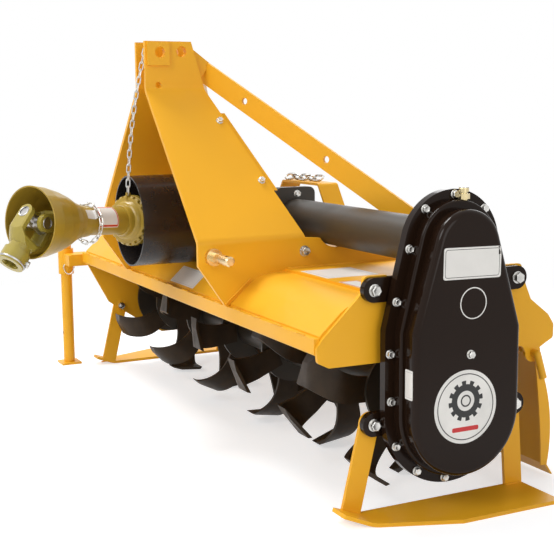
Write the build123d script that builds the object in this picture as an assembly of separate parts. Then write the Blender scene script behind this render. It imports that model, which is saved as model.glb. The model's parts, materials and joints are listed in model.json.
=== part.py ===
from build123d import *
import math
import os

# Three-point rotary tiller, 60 in cut, driven from the tractor's shaft.
# Millimetres. +X is the gear-case end, -Y is the tractor side, +Z is up.
# Every y below is measured from the rotor's axis, every z from the ground.
# main() then puts the origin on the ground under the middle. Right is +X.

ROTOR_TO_ORIGIN = 221.0  # rotor axis behind the origin

# Hood and side plates
WORKING_WIDTH = 1524.0
SIDE_PLATE = 8.0
HOOD_SHEET = 5.0
HOOD_REAR_ROUND = 10.0
HOOD_FRONT_ROUND = 100.0
HOOD_FRONT = -284.0
HOOD_LIP_BOTTOM = 333.0
HOOD_LIP_TOP = 366.0
HOOD_FRONT_BEND = -202.0
HOOD_TOP = 440.0
HOOD_REAR_BEND = 190.0
HOOD_REAR = 248.0
HOOD_REAR_EDGE = 348.0
FRONT_BAR = 12.0
FRONT_BAR_ROUND = 5.0
DECK_SHEET = 6.0
DECK_FRONT = -134.0
DECK_REAR = 182.0
PLATE_EDGE_RISE = 12.0  # side plates above the deck
PLATE_CORNER = 9.0
LOBE_RISE = 26.0  # side plates above their upper bolts
PLATE_NOSE = 20.0  # side plates round the tailgate's hinge
PLATE_SKIRT_Z = 308.0
PLATE_BELLY = 117.0  # left plate below the rotor's axis

# Rotor
ROTOR_Z = 208.0
SWING_RADIUS = 203.0
ROTOR_TUBE_RADIUS = 44.5
ROTOR_TUBE_WALL = 8.0
FLANGES = 6
FLANGE_SPACING = 250.0
FLANGE_RADIUS = 92.0
FLANGE_THICKNESS = 8.0
TINES_PER_FLANGE = 6
TINE_THICKNESS = 8.0
TINE_REACH = 110.0
TINE_BEND = 58.0
TINE_ROOT = 52.0
SPIRAL_START = 60.0
SPIRAL_STEP = 17.0
END_GAP = 12.0
END_DISC_RADIUS = 112.0
END_DISC_THICKNESS = 8.0
STUB_RADIUS = 25.0
RUNNING = 0.05

# Drive line: gearbox, tube and side gear case
DRIVE_Z = 532.0
DRIVE_TUBE_RADIUS = 47.5
DRIVE_TUBE_WALL = 6.0
GEARBOX_HALF = 85.0
GEARBOX_FRONT = -112.0
GEARBOX_REAR = 78.0
GEARBOX_HEIGHT = 120.0
NOSE_FRONT = -200.0
NOSE_RADIUS = 62.0
CAP_RADIUS = 66.0
CAP_LENGTH = 41.0
TUBE_FLANGE = 12.0
TUBE_FLANGE_WIDTH = 108.0
TUBE_FLANGE_HEIGHT = 152.0
TUBE_FLANGE_ROUND = 16.0
INPUT_RADIUS = 17.45
CASE_LOWER_RADIUS = 153.0
CASE_UPPER_RADIUS = 110.0
CASE_SHOULDER_Z = 372.0
CASE_SHOULDER_RADIUS = 36.0
CASE_BODY = 18.0
CASE_BODY_INSET = 12.0
CASE_FLANGE = 12.0
COVER_RIM = 6.0
COVER_STEP_INSET = 20.0
COVER_STEP = 30.0
COVER_STEP_ROUND = 5.0
COVER_INSET = 28.0
COVER_CROWN = 8.0  # upper end of the pressing, further in
COVER_DEPTH = 66.0
COVER_WALL = 5.0
COVER_ROUND = 13.0
BREATHER_Y = 14.0
BREATHER_X = 20.0
BREATHER_RADIUS = 7.0
BREATHER_HEX = 12.0
EAR_FRONT_Y = -164.0
EAR_REAR_Y = 178.0
EAR_UPPER_Z = 453.0
EAR_LOWER_Z = 188.0
EAR_RADIUS = 24.0
EAR_THICKNESS = 14.0
EAR_HOLE_RADIUS = 8.5

# Mast, category 1 hitch
MAST_PLATE = 10.0
MAST_FOLD = 14.0
CLEVIS_GAP = 52.0
MAST_FRONT = -347.0
MAST_TOP_Z = 961.0
MAST_TOP_REAR = -229.0
MAST_BEND_DROP = 117.0
MAST_BEND_REAR = -195.0
LOWER_SPREAD = 343.0
LOWER_BEND_Z = 508.0
LOWER_BEND_REAR = -82.0
GUSSET_NOSE_Z = 458.0
GUSSET_BACK_Y = -10.0
GUSSET_TAIL = 4.0
TOP_PIN_Y = -311.0
TOP_PIN_DROP = 26.0
TOP_PIN_RADIUS = 12.9
LINK_HOLE_Y = -254.0
LINK_HOLE_DROP = 24.0
PAD_SIZE = 56.0
PAD_THICKNESS = 6.0
SMALL_HOLE_Y = -315.0
SMALL_HOLE_DROP = 103.0
SMALL_HOLE_RADIUS = 7.5
LOWER_PIN_Y = -313.0
LOWER_PIN_Z = 478.0
LOWER_PIN_RADIUS = 11.1
LOWER_PIN_LENGTH = 84.0
LOWER_COLLAR_RADIUS = 19.0
LOWER_COLLAR_LENGTH = 12.0
CHANNEL_TOP_DROP = 171.0
CHANNEL_HEIGHT = 180.0
CHANNEL_LEG = 52.0
CHANNEL_SHEET = 6.0
CHANNEL_PROUD = 16.0

# Rear braces
BRACE_WIDTH = 50.0
BRACE_THICKNESS = 8.0
BRACE_TAB_Y = -190.0
BRACE_TAB_DROP = 71.0
BRACE_FOOT_X = 636.0
BRACE_FOOT_Y = 166.0
BRACE_FOOT_HEIGHT = 26.0
BRACE_LUG_RADIUS = 22.0
BRACE_HOLE_RADIUS = 8.0

# Chain bracket behind the gearbox
BRACKET_TOP_Z = 612.0
BRACKET_TOP_HALF = 100.0
BRACKET_FOOT_HALF = 215.0
BRACKET_FRONT = 84.0
BRACKET_DEPTH = 56.0
BRACKET_SHEET = 6.0
BRACKET_BEND = 8.0
BRACKET_TOE = 34.0
BRACKET_SLOT_HALF = 6.0

# Skid shoes
SKID_OUTER = 885.0
SKID_SHEET = 8.0
SKID_REAR = 214.0
SKID_BEND = -190.0
SKID_TIP = -245.0
SKID_TIP_Z = 20.0
SKID_LEG = 44.0
SKID_FRONT_FOOT = -208.0
SKID_CUT_START = -12.0
SKID_CUT_INNER = 802.0

# Tailgate
GATE_HINGE_Y = 235.0
GATE_HINGE_Z = 287.0
GATE_ROD_RADIUS = 8.0
GATE_KNUCKLE_RADIUS = 14.0
GATE_KNUCKLE_LENGTH = 70.0
GATE_SHEET = 4.0
GATE_BOTTOM_Z = 6.0
GATE_END_GAP = 6.0
GATE_END_FOLD = 24.0
GATE_HANDLE_DROP = 56.0
GATE_HANDLE_TILT = 18.0

# Parking stand
STAND_X = -842.0
STAND_Y = -313.0
SLEEVE_RADIUS = 24.0
SLEEVE_BORE = 18.5
SLEEVE_BOTTOM = 291.0
SLEEVE_TOP = 370.0
LEG_RADIUS = 17.5
LEG_TOP = 392.0
LEG_WALL = 3.0
LEG_HOLE_RADIUS = 6.0
LEG_HOLE_Z = 100.0
FOOT_SIZE = 62.0
FOOT_THICKNESS = 6.0
ARM_Z = 340.0
ARM_HEIGHT = 34.0
ARM_REAR_Y = -250.0

# Drive shaft with its universal joints and guard
JOINT_Y = -330.0
SHAFT_SWING = 28.0
SHAFT_RISE = 4.0
SHAFT_LENGTH = 375.0
SHAFT_RADIUS = 17.0
YOKE_INNER = 28.0
YOKE_EAR = 12.0
YOKE_EAR_RADIUS = 20.0
YOKE_BASE = 48.0
YOKE_BASE_THICKNESS = 12.0
YOKE_HUB_RADIUS = 25.0
YOKE_TURNED = 3.0  # turned outside of a yoke beyond its ears
YOKE_HUB_END = 92.0
COUPLER_BOSS_RADIUS = 30.0
COUPLER_BOSS_START = 80.0
COUPLER_HUB_END = 112.0
CUP_RADIUS = 13.5
CROSS_STUB = 16.0
DROOP = 52.0
SHIELD_RADIUS = 110.0
SHIELD_WALL = 3.5
SHIELD_FRONT = -386.0
BELL_RADIUS = 80.0
BELL_WALL = 3.0
BELL_OVERHANG = 15.0  # bell's rim beyond the outer joint
BELL_LENGTH = 166.0
GUARD_RADIUS = 32.5
GUARD_WALL = 3.0
GUARD_START = 72.0
COLLAR_RADIUS = 61.0
COLLAR_REAR = 62.0
COLLAR_TEETH = 16
COLLAR_NOTCH = 9.0
LUG_BASE = 52.0
LUG_PLACE = 21.0
LUG_HOLE_RISE = 9.0
LUG_HOLE_RADIUS = 3.2

# Chains
CHAIN_PITCH = 18.8
CHAIN_WIDTH = 12.0
CHAIN_WIRE = 3.0
CHAIN_BOW = 10.0
PEG_Y = -340.0
PEG_DROP = 18.0
PEG_RADIUS = 2.5
PEG_LENGTH = 15.0
LOOP_RADIUS = 44.0
LOOP_PLACE = 216.0
GATE_CHAIN_PITCH = 30.0
GATE_CHAIN_WIDTH = 24.0
GATE_CHAIN_WIRE = 6.0
GATE_CHAIN_LINKS = 5

HALF_WIDTH = WORKING_WIDTH / 2
INSIDE = HALF_WIDTH - SIDE_PLATE
CASE_FACE = HALF_WIDTH + CASE_BODY + CASE_FLANGE
CLEVIS_OUTER = CLEVIS_GAP / 2 + MAST_PLATE
MAST_BEND_Z = MAST_TOP_Z - MAST_BEND_DROP
TOP_PIN_Z = MAST_TOP_Z - TOP_PIN_DROP
LINK_HOLE_Z = MAST_TOP_Z - LINK_HOLE_DROP
SMALL_HOLE_Z = MAST_TOP_Z - SMALL_HOLE_DROP
CHANNEL_TOP_Z = MAST_TOP_Z - CHANNEL_TOP_DROP
CHANNEL_BOTTOM_Z = CHANNEL_TOP_Z - CHANNEL_HEIGHT
TUBE_START = GEARBOX_HALF + CAP_LENGTH


def plate_yz(outline, x_from, x_to):
    """Flat plate across the machine, its outline given as (y, z) points or a face."""
    face = polygon(outline) if isinstance(outline, list) else outline
    return extrude(Plane.YZ.offset(min(x_from, x_to)) * face, amount=abs(x_to - x_from))


def plate_xz(outline, y_from, y_to):
    """Flat plate facing the tractor, its outline given as (x, z) points or a face."""
    face = polygon(outline) if isinstance(outline, list) else outline
    plane = Plane(origin=(0, max(y_from, y_to), 0), x_dir=(1, 0, 0), z_dir=(0, -1, 0))
    return extrude(plane * face, amount=abs(y_to - y_from))


def polygon(points):
    return make_face(Polyline(*points, close=True))


def rod_x(radius, x_from, x_to, y, z):
    """Round bar along X."""
    return Pos((x_from + x_to) / 2, y, z) * Rot(0, 90, 0) * Cylinder(radius, abs(x_to - x_from))


def rod_y(radius, y_from, y_to, x, z):
    """Round bar along Y."""
    return Pos(x, (y_from + y_to) / 2, z) * Rot(90, 0, 0) * Cylinder(radius, abs(y_to - y_from))


def unit(vector):
    length = math.hypot(*vector)
    return tuple(v / length for v in vector)


def bent_sheet(points, thickness, bends):
    """Section of a folded sheet: a line of corners, with the sheet on its left.

    bends holds the inner radius of each corner between the two ends.
    """
    steps = [unit((b[0] - a[0], b[1] - a[1])) for a, b in zip(points, points[1:])]
    normals = [(-s[1], s[0]) for s in steps]
    left = [(points[0][0] + normals[0][0] * thickness, points[0][1] + normals[0][1] * thickness)]
    near_radii = []
    far_radii = []
    for corner, bend, a, b in zip(points[1:-1], bends, range(len(steps)), range(1, len(steps))):
        scale = thickness / (1 + normals[a][0] * normals[b][0] + normals[a][1] * normals[b][1])
        left.append(
            (
                corner[0] + (normals[a][0] + normals[b][0]) * scale,
                corner[1] + (normals[a][1] + normals[b][1]) * scale,
            )
        )
        turns_left = steps[a][0] * steps[b][1] - steps[a][1] * steps[b][0] > 0
        near_radii.append(bend + thickness if turns_left else bend)
        far_radii.append(bend if turns_left else bend + thickness)
    end = points[-1]
    left.append((end[0] + normals[-1][0] * thickness, end[1] + normals[-1][1] * thickness))
    near = FilletPolyline(*points, radius=near_radii)
    far = FilletPolyline(*left, radius=far_radii)
    return make_face(near + far + Line(points[0], left[0]) + Line(points[-1], left[-1]))


def mirrored(shape):
    return mirror(shape, about=Plane.YZ)


# ---------------------------------------------------------------- hood

def hood_line():
    """Top surface of the hood sheet from its rear edge to its front, as (y, z)."""
    top = HOOD_TOP - DECK_SHEET
    return [
        (HOOD_REAR, HOOD_REAR_EDGE),
        (HOOD_REAR_BEND, top),
        (HOOD_FRONT_BEND, top),
        (HOOD_FRONT + FRONT_BAR - 4, HOOD_LIP_TOP),
    ]


def hood_shell():
    """Curved sheet over the rotor, ending behind the front bar."""
    section = bent_sheet(hood_line(), HOOD_SHEET, [HOOD_REAR_ROUND, HOOD_FRONT_ROUND])
    sheet = plate_yz(section, -INSIDE, INSIDE)
    return sheet & plate_yz(
        [
            (HOOD_FRONT + FRONT_BAR, HOOD_LIP_BOTTOM),
            (HOOD_REAR + HOOD_SHEET, HOOD_LIP_BOTTOM),
            (HOOD_REAR + HOOD_SHEET, HOOD_TOP),
            (HOOD_FRONT + FRONT_BAR, HOOD_TOP),
        ],
        -INSIDE,
        INSIDE,
    )


def hood_deck():
    """Flat doubling plate on top of the hood, which the mast and gearbox stand on."""
    middle = (DECK_FRONT + DECK_REAR) / 2
    return Pos(0, middle, HOOD_TOP - DECK_SHEET / 2) * Box(
        2 * INSIDE, DECK_REAR - DECK_FRONT, DECK_SHEET
    )


def hood_front_bar():
    """Flat bar along the hood's front edge, its lower edges rounded."""
    height = HOOD_LIP_TOP - HOOD_LIP_BOTTOM
    bar = Pos(0, HOOD_FRONT + FRONT_BAR / 2, HOOD_LIP_BOTTOM + height / 2) * Box(
        2 * INSIDE, FRONT_BAR, height
    )
    lower = bar.faces().sort_by(Axis.Z)[0]
    return fillet(lower.edges().filter_by(Axis.X), FRONT_BAR_ROUND)


def below_hood():
    """Everything under the top of the hood, deck and front bar, for seating what stands on them."""
    line = hood_line()
    rounds = [HOOD_REAR_ROUND + HOOD_SHEET, HOOD_FRONT_ROUND + HOOD_SHEET]
    rear, front = line[0], line[-1]
    face = make_face(
        FilletPolyline(*line, radius=rounds)
        + Polyline(front, (front[0], 0), (rear[0], 0), rear)
    )
    face += polygon(
        [(DECK_FRONT, 0), (DECK_REAR, 0), (DECK_REAR, HOOD_TOP), (DECK_FRONT, HOOD_TOP)]
    )
    bar_rear = HOOD_FRONT + FRONT_BAR
    return face + polygon(
        [(HOOD_FRONT, 0), (bar_rear, 0), (bar_rear, HOOD_LIP_TOP), (HOOD_FRONT, HOOD_LIP_TOP)]
    )


def side_plate_upper():
    """Corners of the upper edge that both side plates share, front to rear."""
    edge = HOOD_TOP + PLATE_EDGE_RISE
    lobe = EAR_UPPER_Z + LOBE_RISE
    return [
        (HOOD_FRONT + 1, HOOD_LIP_TOP - 17),
        (HOOD_FRONT + 16, HOOD_LIP_TOP + 1),
        (HOOD_FRONT_BEND + 8, HOOD_TOP - 4),
        (EAR_FRONT_Y - 18, EAR_UPPER_Z - 3),
        (EAR_FRONT_Y - 16, lobe),
        (EAR_FRONT_Y + 38, lobe),
        (EAR_FRONT_Y + 52, edge),
        (EAR_REAR_Y - 60, edge),
        (EAR_REAR_Y - 44, lobe),
        (EAR_REAR_Y + 20, lobe),
        (EAR_REAR_Y + 34, EAR_UPPER_Z - 20),
        (HOOD_REAR - 22, HOOD_TOP - 38),
        (HOOD_REAR + 25, HOOD_REAR_EDGE + 18),
        (HOOD_REAR + 40, HOOD_REAR_EDGE - 4),
        (HOOD_REAR + 40, GATE_HINGE_Z + 28),
        (GATE_HINGE_Y + 29, GATE_HINGE_Z + 16),
    ]


def side_plate_face(lower):
    """Outline of a side plate: the shared upper edge, its own lower one and the hinge's nose."""
    face = fillet(polygon(side_plate_upper() + lower).vertices(), PLATE_CORNER)
    return face + Pos(GATE_HINGE_Y, GATE_HINGE_Z) * Circle(PLATE_NOSE)


def side_plate_right():
    """Plate behind the gear case. The rotor's end is open below it."""
    lower = [
        (GATE_HINGE_Y - 14, GATE_HINGE_Z - 8),
        (GATE_HINGE_Y - 28, PLATE_SKIRT_Z - 4),
        (HOOD_FRONT + 28, PLATE_SKIRT_Z),
        (HOOD_FRONT + 4, PLATE_SKIRT_Z + 12),
    ]
    plate = plate_yz(side_plate_face(lower), INSIDE, HALF_WIDTH)
    hole = GATE_ROD_RADIUS + RUNNING
    return plate - rod_x(hole, INSIDE - 1, HALF_WIDTH + 1, GATE_HINGE_Y, GATE_HINGE_Z)


def side_plate_left():
    """Plate that also carries the rotor's outer bearing."""
    lower = [
        (GATE_HINGE_Y - 4, GATE_HINGE_Z - 24),
        (EAR_REAR_Y - 25, ROTOR_Z - 50),
        (67, ROTOR_Z - 96),
        (28, ROTOR_Z - PLATE_BELLY),
        (-28, ROTOR_Z - PLATE_BELLY),
        (-67, ROTOR_Z - 96),
        (EAR_FRONT_Y + 11, ROTOR_Z - 40),
        (EAR_FRONT_Y - 39, ROTOR_Z - 5),
        (HOOD_FRONT + 15, HOOD_LIP_BOTTOM - 5),
    ]
    plate = plate_yz(side_plate_face(lower), -HALF_WIDTH, -INSIDE)
    plate -= rod_x(STUB_RADIUS + RUNNING, -HALF_WIDTH - 1, -INSIDE + 1, 0, ROTOR_Z)
    return plate - rod_x(
        GATE_ROD_RADIUS + RUNNING, -HALF_WIDTH - 1, -INSIDE + 1, GATE_HINGE_Y, GATE_HINGE_Z
    )


# ---------------------------------------------------------------- mast

def mast_outline():
    """Side view of one mast plate with its gusset, as (y, z)."""
    return [
        (MAST_FRONT, MAST_TOP_Z),
        (MAST_TOP_REAR, MAST_TOP_Z),
        (MAST_BEND_REAR, MAST_BEND_Z),
        (LOWER_BEND_REAR, LOWER_BEND_Z),
        (GUSSET_BACK_Y, LOWER_BEND_Z - 6),
        (DECK_REAR, HOOD_TOP + GUSSET_TAIL),
        (DECK_REAR, HOOD_LIP_TOP),
        (HOOD_FRONT, HOOD_LIP_TOP),
        (MAST_FRONT, GUSSET_NOSE_Z),
    ]


def mast_plate():
    """Right-hand mast plate: upright clevis, spreading middle and upright gusset."""
    section = bent_sheet(
        [
            (CLEVIS_GAP / 2, MAST_TOP_Z),
            (CLEVIS_GAP / 2, MAST_BEND_Z),
            (LOWER_SPREAD - MAST_PLATE, LOWER_BEND_Z),
            (LOWER_SPREAD - MAST_PLATE, HOOD_LIP_TOP - 20),
        ],
        MAST_PLATE,
        [MAST_FOLD, MAST_FOLD],
    )
    plate = plate_xz(section, MAST_FRONT - 5, DECK_REAR + 5)
    plate &= plate_yz(mast_outline(), 0, LOWER_SPREAD + 20)
    plate -= plate_yz(below_hood(), 0, LOWER_SPREAD + 20)
    pad_front = MAST_FRONT + 4
    plate += Pos(
        CLEVIS_OUTER + PAD_THICKNESS / 2, pad_front + PAD_SIZE / 2, MAST_TOP_Z - PAD_SIZE / 2 - 1
    ) * Box(PAD_THICKNESS, PAD_SIZE, PAD_SIZE)
    for radius, y, z in (
        (TOP_PIN_RADIUS, TOP_PIN_Y, TOP_PIN_Z),
        (TOP_PIN_RADIUS, LINK_HOLE_Y, LINK_HOLE_Z),
        (SMALL_HOLE_RADIUS, SMALL_HOLE_Y, SMALL_HOLE_Z),
    ):
        plate -= rod_x(radius, 0, CLEVIS_OUTER + 20, y, z)
    return plate


def mast_plate_right():
    clearance = 4.0
    return mast_plate() - rod_x(
        DRIVE_TUBE_RADIUS + clearance, LOWER_SPREAD - 60, LOWER_SPREAD + 60, 0, DRIVE_Z
    )


def mast_inner_x(z):
    """Inner face of the spreading part of the mast at height z."""
    rise = MAST_BEND_Z - LOWER_BEND_Z
    run = LOWER_SPREAD - MAST_PLATE - CLEVIS_GAP / 2
    return CLEVIS_GAP / 2 + (MAST_BEND_Z - z) * run / rise


def mast_rear_y(z):
    """Rear edge of the spreading part of the mast at height z."""
    share = (MAST_BEND_Z - z) / (MAST_BEND_Z - LOWER_BEND_Z)
    return MAST_BEND_REAR + share * (LOWER_BEND_REAR - MAST_BEND_REAR)


def mast_channel():
    """Cross member between the spreading plates: a web in front and two legs."""
    top, bottom = CHANNEL_TOP_Z, CHANNEL_BOTTOM_Z
    outer = [
        (-mast_inner_x(top), top),
        (mast_inner_x(top), top),
        (mast_inner_x(bottom), bottom),
        (-mast_inner_x(bottom), bottom),
    ]
    across = 2 * mast_inner_x(bottom)
    block = plate_xz(outer, MAST_FRONT, 0)
    front_top = mast_rear_y(top) + CHANNEL_PROUD - CHANNEL_LEG
    front_bottom = mast_rear_y(bottom) + CHANNEL_PROUD - CHANNEL_LEG
    rear_shift = CHANNEL_LEG
    band = polygon(
        [
            (front_top, top),
            (front_top + rear_shift, top),
            (front_bottom + rear_shift, bottom),
            (front_bottom, bottom),
        ]
    )
    block &= plate_yz(band, -across, across)
    hollow_side = CHANNEL_SHEET * 1.35
    inner = [
        (-mast_inner_x(top) + hollow_side, top + 1),
        (mast_inner_x(top) - hollow_side, top + 1),
        (mast_inner_x(bottom) - hollow_side, bottom - 1),
        (-mast_inner_x(bottom) + hollow_side, bottom - 1),
    ]
    behind_web = polygon(
        [
            (front_top + CHANNEL_SHEET, top + 1),
            (front_top + 2 * rear_shift, top + 1),
            (front_bottom + 2 * rear_shift, bottom - 1),
            (front_bottom + CHANNEL_SHEET, bottom - 1),
        ]
    )
    hollow = plate_xz(inner, MAST_FRONT, 60) & plate_yz(behind_web, -across, across)
    return block - hollow


def lower_pin():
    """Right-hand lower hitch pin with its shoulder and linchpin hole."""
    start = LOWER_SPREAD
    shoulder_end = start + LOWER_COLLAR_LENGTH
    tip = shoulder_end + LOWER_PIN_LENGTH
    pin = rod_x(LOWER_COLLAR_RADIUS, start, shoulder_end, LOWER_PIN_Y, LOWER_PIN_Z)
    shank = rod_x(LOWER_PIN_RADIUS, shoulder_end, tip, LOWER_PIN_Y, LOWER_PIN_Z)
    shank = chamfer(shank.faces().sort_by(Axis.X)[-1].edges(), 3)
    return pin + shank - Pos(tip - 14, LOWER_PIN_Y, LOWER_PIN_Z) * Cylinder(5.5, 60)


def brace_bend():
    """Place where the right-hand brace leaves its tab."""
    return Vector(CLEVIS_GAP / 2 - BRACE_THICKNESS, BRACE_TAB_Y, MAST_TOP_Z - BRACE_TAB_DROP)


def brace_foot():
    """Bolt of the right-hand brace's lower end."""
    return Vector(BRACE_FOOT_X, BRACE_FOOT_Y, HOOD_TOP + BRACE_FOOT_HEIGHT)


def brace():
    """Right-hand rear brace: a flat bar bent once below its top tab."""
    tab_x = CLEVIS_GAP / 2 - BRACE_THICKNESS
    bend = brace_bend()
    foot = brace_foot()
    tab_start = Vector(tab_x, LINK_HOLE_Y, LINK_HOLE_Z)
    half = BRACE_WIDTH / 2
    tab_dir = (bend - tab_start).normalized()
    tab_plane = Plane(origin=tab_start, x_dir=tab_dir, z_dir=(1, 0, 0))
    tab_length = (bend - tab_start).length
    tab = extrude(
        tab_plane * (Pos(tab_length / 2, 0) * Rectangle(tab_length, BRACE_WIDTH) + Circle(half)),
        amount=BRACE_THICKNESS,
    )
    run = foot - bend
    along = run.normalized()
    side = along.cross(Vector(0, 0, 1)).normalized() * -1
    bar_plane = Plane(origin=bend, x_dir=along, z_dir=side)
    bar_face = Pos(run.length / 2, 0) * Rectangle(run.length, BRACE_WIDTH)
    bar_face += Pos(run.length, 0) * Circle(half)
    for share in (0.17, 0.49, 1.0):
        bar_face -= Pos(run.length * share, 0) * Circle(BRACE_HOLE_RADIUS)
    bar = extrude(bar_plane * bar_face, amount=BRACE_THICKNESS)
    hole = rod_x(TOP_PIN_RADIUS, 0, CLEVIS_OUTER, LINK_HOLE_Y, LINK_HOLE_Z)
    return tab + bar - hole


def brace_lug():
    """Upright lug on the hood that the brace's foot is bolted to."""
    foot = brace_foot()
    along = (foot - brace_bend()).normalized()
    flat = Vector(along.X, along.Y, 0).normalized()
    side = along.cross(Vector(0, 0, 1)).normalized()
    plane = Plane(origin=foot, x_dir=flat, z_dir=side)
    lug = Circle(BRACE_LUG_RADIUS)
    lug += Pos(0, -BRACE_FOOT_HEIGHT / 2) * Rectangle(2 * BRACE_LUG_RADIUS, BRACE_FOOT_HEIGHT)
    lug -= Circle(BRACE_HOLE_RADIUS)
    return extrude(plane * lug, amount=BRACE_THICKNESS)


def chain_bracket():
    """Strap that stands over the hood behind the gearbox."""
    section = bent_sheet(
        [
            (BRACKET_FOOT_HALF + BRACKET_TOE, HOOD_TOP + BRACKET_SHEET),
            (BRACKET_FOOT_HALF, HOOD_TOP + BRACKET_SHEET),
            (BRACKET_TOP_HALF, BRACKET_TOP_Z),
            (-BRACKET_TOP_HALF, BRACKET_TOP_Z),
            (-BRACKET_FOOT_HALF, HOOD_TOP + BRACKET_SHEET),
            (-BRACKET_FOOT_HALF - BRACKET_TOE, HOOD_TOP + BRACKET_SHEET),
        ],
        BRACKET_SHEET,
        [BRACKET_BEND] * 4,
    )
    strap = plate_xz(section, BRACKET_FRONT, BRACKET_FRONT + BRACKET_DEPTH)
    rear = BRACKET_FRONT + BRACKET_DEPTH
    return strap - Pos(0, rear, BRACKET_TOP_Z) * Box(2 * BRACKET_SLOT_HALF, 44, 40)


# ---------------------------------------------------------------- drive

def case_outline(grow=0.0, crown=0.0):
    """Outline of the side gear case, larger by grow, as a (y, z) face.

    crown draws the upper end further in.
    """
    shoulder_y = CASE_LOWER_RADIUS - CASE_SHOULDER_RADIUS
    circles = [
        Pos(0, ROTOR_Z) * Circle(CASE_LOWER_RADIUS + grow),
        Pos(0, DRIVE_Z) * Circle(CASE_UPPER_RADIUS + grow - crown),
    ]
    if CASE_SHOULDER_RADIUS + grow > 2:
        for y in (-shoulder_y, shoulder_y):
            circles.append(Pos(y, CASE_SHOULDER_Z) * Circle(CASE_SHOULDER_RADIUS + grow))
    return make_hull([edge for circle in circles for edge in circle.edges()])


def ears():
    """The four bolting ears of the gear case."""
    reach = 70.0
    start, end = HALF_WIDTH, HALF_WIDTH + EAR_THICKNESS
    lugs = []
    for z in (EAR_LOWER_Z, EAR_UPPER_Z):
        for y, side in ((EAR_FRONT_Y, -1), (EAR_REAR_Y, 1)):
            lug = rod_x(EAR_RADIUS, start, end, y, z)
            lug += Pos((start + end) / 2, y - side * reach / 2, z) * Box(
                EAR_THICKNESS, reach, 2 * EAR_RADIUS
            )
            lugs.append(lug - rod_x(EAR_HOLE_RADIUS, start - 1, end + 1, y, z))
    return lugs


def gear_case_housing():
    """Back half of the gear case, with its bolting flange, ears and bearing seats."""
    wall = 8.0
    body = plate_yz(case_outline(-CASE_BODY_INSET), HALF_WIDTH, HALF_WIDTH + CASE_BODY)
    body += plate_yz(case_outline(), HALF_WIDTH + CASE_BODY, CASE_FACE)
    for lug in ears():
        body += lug
    body -= plate_yz(case_outline(-30), HALF_WIDTH + wall, CASE_FACE + 1)
    body += rod_x(STUB_RADIUS + 22, INSIDE - 6, HALF_WIDTH + wall, 0, ROTOR_Z)
    body -= rod_x(STUB_RADIUS + RUNNING, INSIDE - 10, HALF_WIDTH + wall + 1, 0, ROTOR_Z)
    return body


def gear_case_cover():
    """Domed cover: a bolting rim, a low step and a deep pressing with a rounded edge."""
    rim = plate_yz(case_outline(), CASE_FACE, CASE_FACE + COVER_RIM)
    step = plate_yz(case_outline(-COVER_STEP_INSET), CASE_FACE, CASE_FACE + COVER_STEP)
    step = fillet(step.faces().sort_by(Axis.X)[-1].edges(), COVER_STEP_ROUND)
    dome = plate_yz(case_outline(-COVER_INSET, COVER_CROWN), CASE_FACE, CASE_FACE + COVER_DEPTH)
    dome = fillet(dome.faces().sort_by(Axis.X)[-1].edges(), COVER_ROUND)
    cavity = plate_yz(
        case_outline(-COVER_INSET - COVER_WALL, COVER_CROWN),
        CASE_FACE - 1,
        CASE_FACE + COVER_DEPTH - COVER_WALL,
    )
    cavity = fillet(cavity.faces().sort_by(Axis.X)[-1].edges(), COVER_ROUND - COVER_WALL)
    tapping = breather_seat() * Cylinder(BREATHER_RADIUS, 24)
    return rim + step + dome - cavity - tapping


def breather_seat():
    """Top of the cover's step, where the breather is screwed in."""
    return Pos(CASE_FACE + BREATHER_X, BREATHER_Y, DRIVE_Z + CASE_UPPER_RADIUS - COVER_STEP_INSET)


def gear_case_breather():
    """Breather screwed into the top of the cover: a stem, a hexagon and a low cap."""
    stem = Pos(0, 0, 6) * Cylinder(BREATHER_RADIUS, 34)
    hexagon = Pos(0, 0, 1) * extrude(RegularPolygon(BREATHER_HEX, 6), amount=10)
    cap = Pos(0, 0, 19) * Cylinder(BREATHER_HEX - 2, 8)
    body = stem + hexagon + fillet(cap.faces().sort_by(Axis.Z)[-1].edges(), 2)
    return breather_seat() * (body & Pos(0, 0, 12) * Cylinder(2 * BREATHER_HEX, 44))


def gearbox_case():
    """Bevel gearbox on the middle of the hood, with its nose, caps and feet."""
    foot = 16.0
    centre_y = (GEARBOX_FRONT + GEARBOX_REAR) / 2
    depth = GEARBOX_REAR - GEARBOX_FRONT
    block = Pos(0, centre_y, DRIVE_Z) * Box(2 * GEARBOX_HALF, depth, GEARBOX_HEIGHT)
    block = fillet(block.edges(), 12)
    block += rod_y(NOSE_RADIUS, NOSE_FRONT, GEARBOX_FRONT + 20, 0, DRIVE_Z)
    block += rod_y(NOSE_RADIUS + 14, GEARBOX_FRONT - 14, GEARBOX_FRONT + 20, 0, DRIVE_Z)
    block += rod_x(CAP_RADIUS, -TUBE_START + 12, TUBE_START, 0, DRIVE_Z)
    block += tube_flange(TUBE_START - TUBE_FLANGE)
    for x in (-1, 1):
        block += Pos(x * (GEARBOX_HALF + 8), centre_y, HOOD_TOP + foot / 2) * Box(60, depth, foot)
    pedestal_height = DRIVE_Z - GEARBOX_HEIGHT / 2 - HOOD_TOP + 20
    block += Pos(0, centre_y, HOOD_TOP + pedestal_height / 2) * Box(
        2 * GEARBOX_HALF - 30, depth - 24, pedestal_height
    )
    return block - rod_y(INPUT_RADIUS + RUNNING, NOSE_FRONT - 1, NOSE_FRONT + 62, 0, DRIVE_Z)


def tube_flange(start):
    """Square flange of the cross shaft's joint face, from x = start outwards."""
    face = Pos(0, DRIVE_Z) * RectangleRounded(
        TUBE_FLANGE_WIDTH, TUBE_FLANGE_HEIGHT, TUBE_FLANGE_ROUND
    )
    return plate_yz(face, start, start + TUBE_FLANGE)


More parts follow.
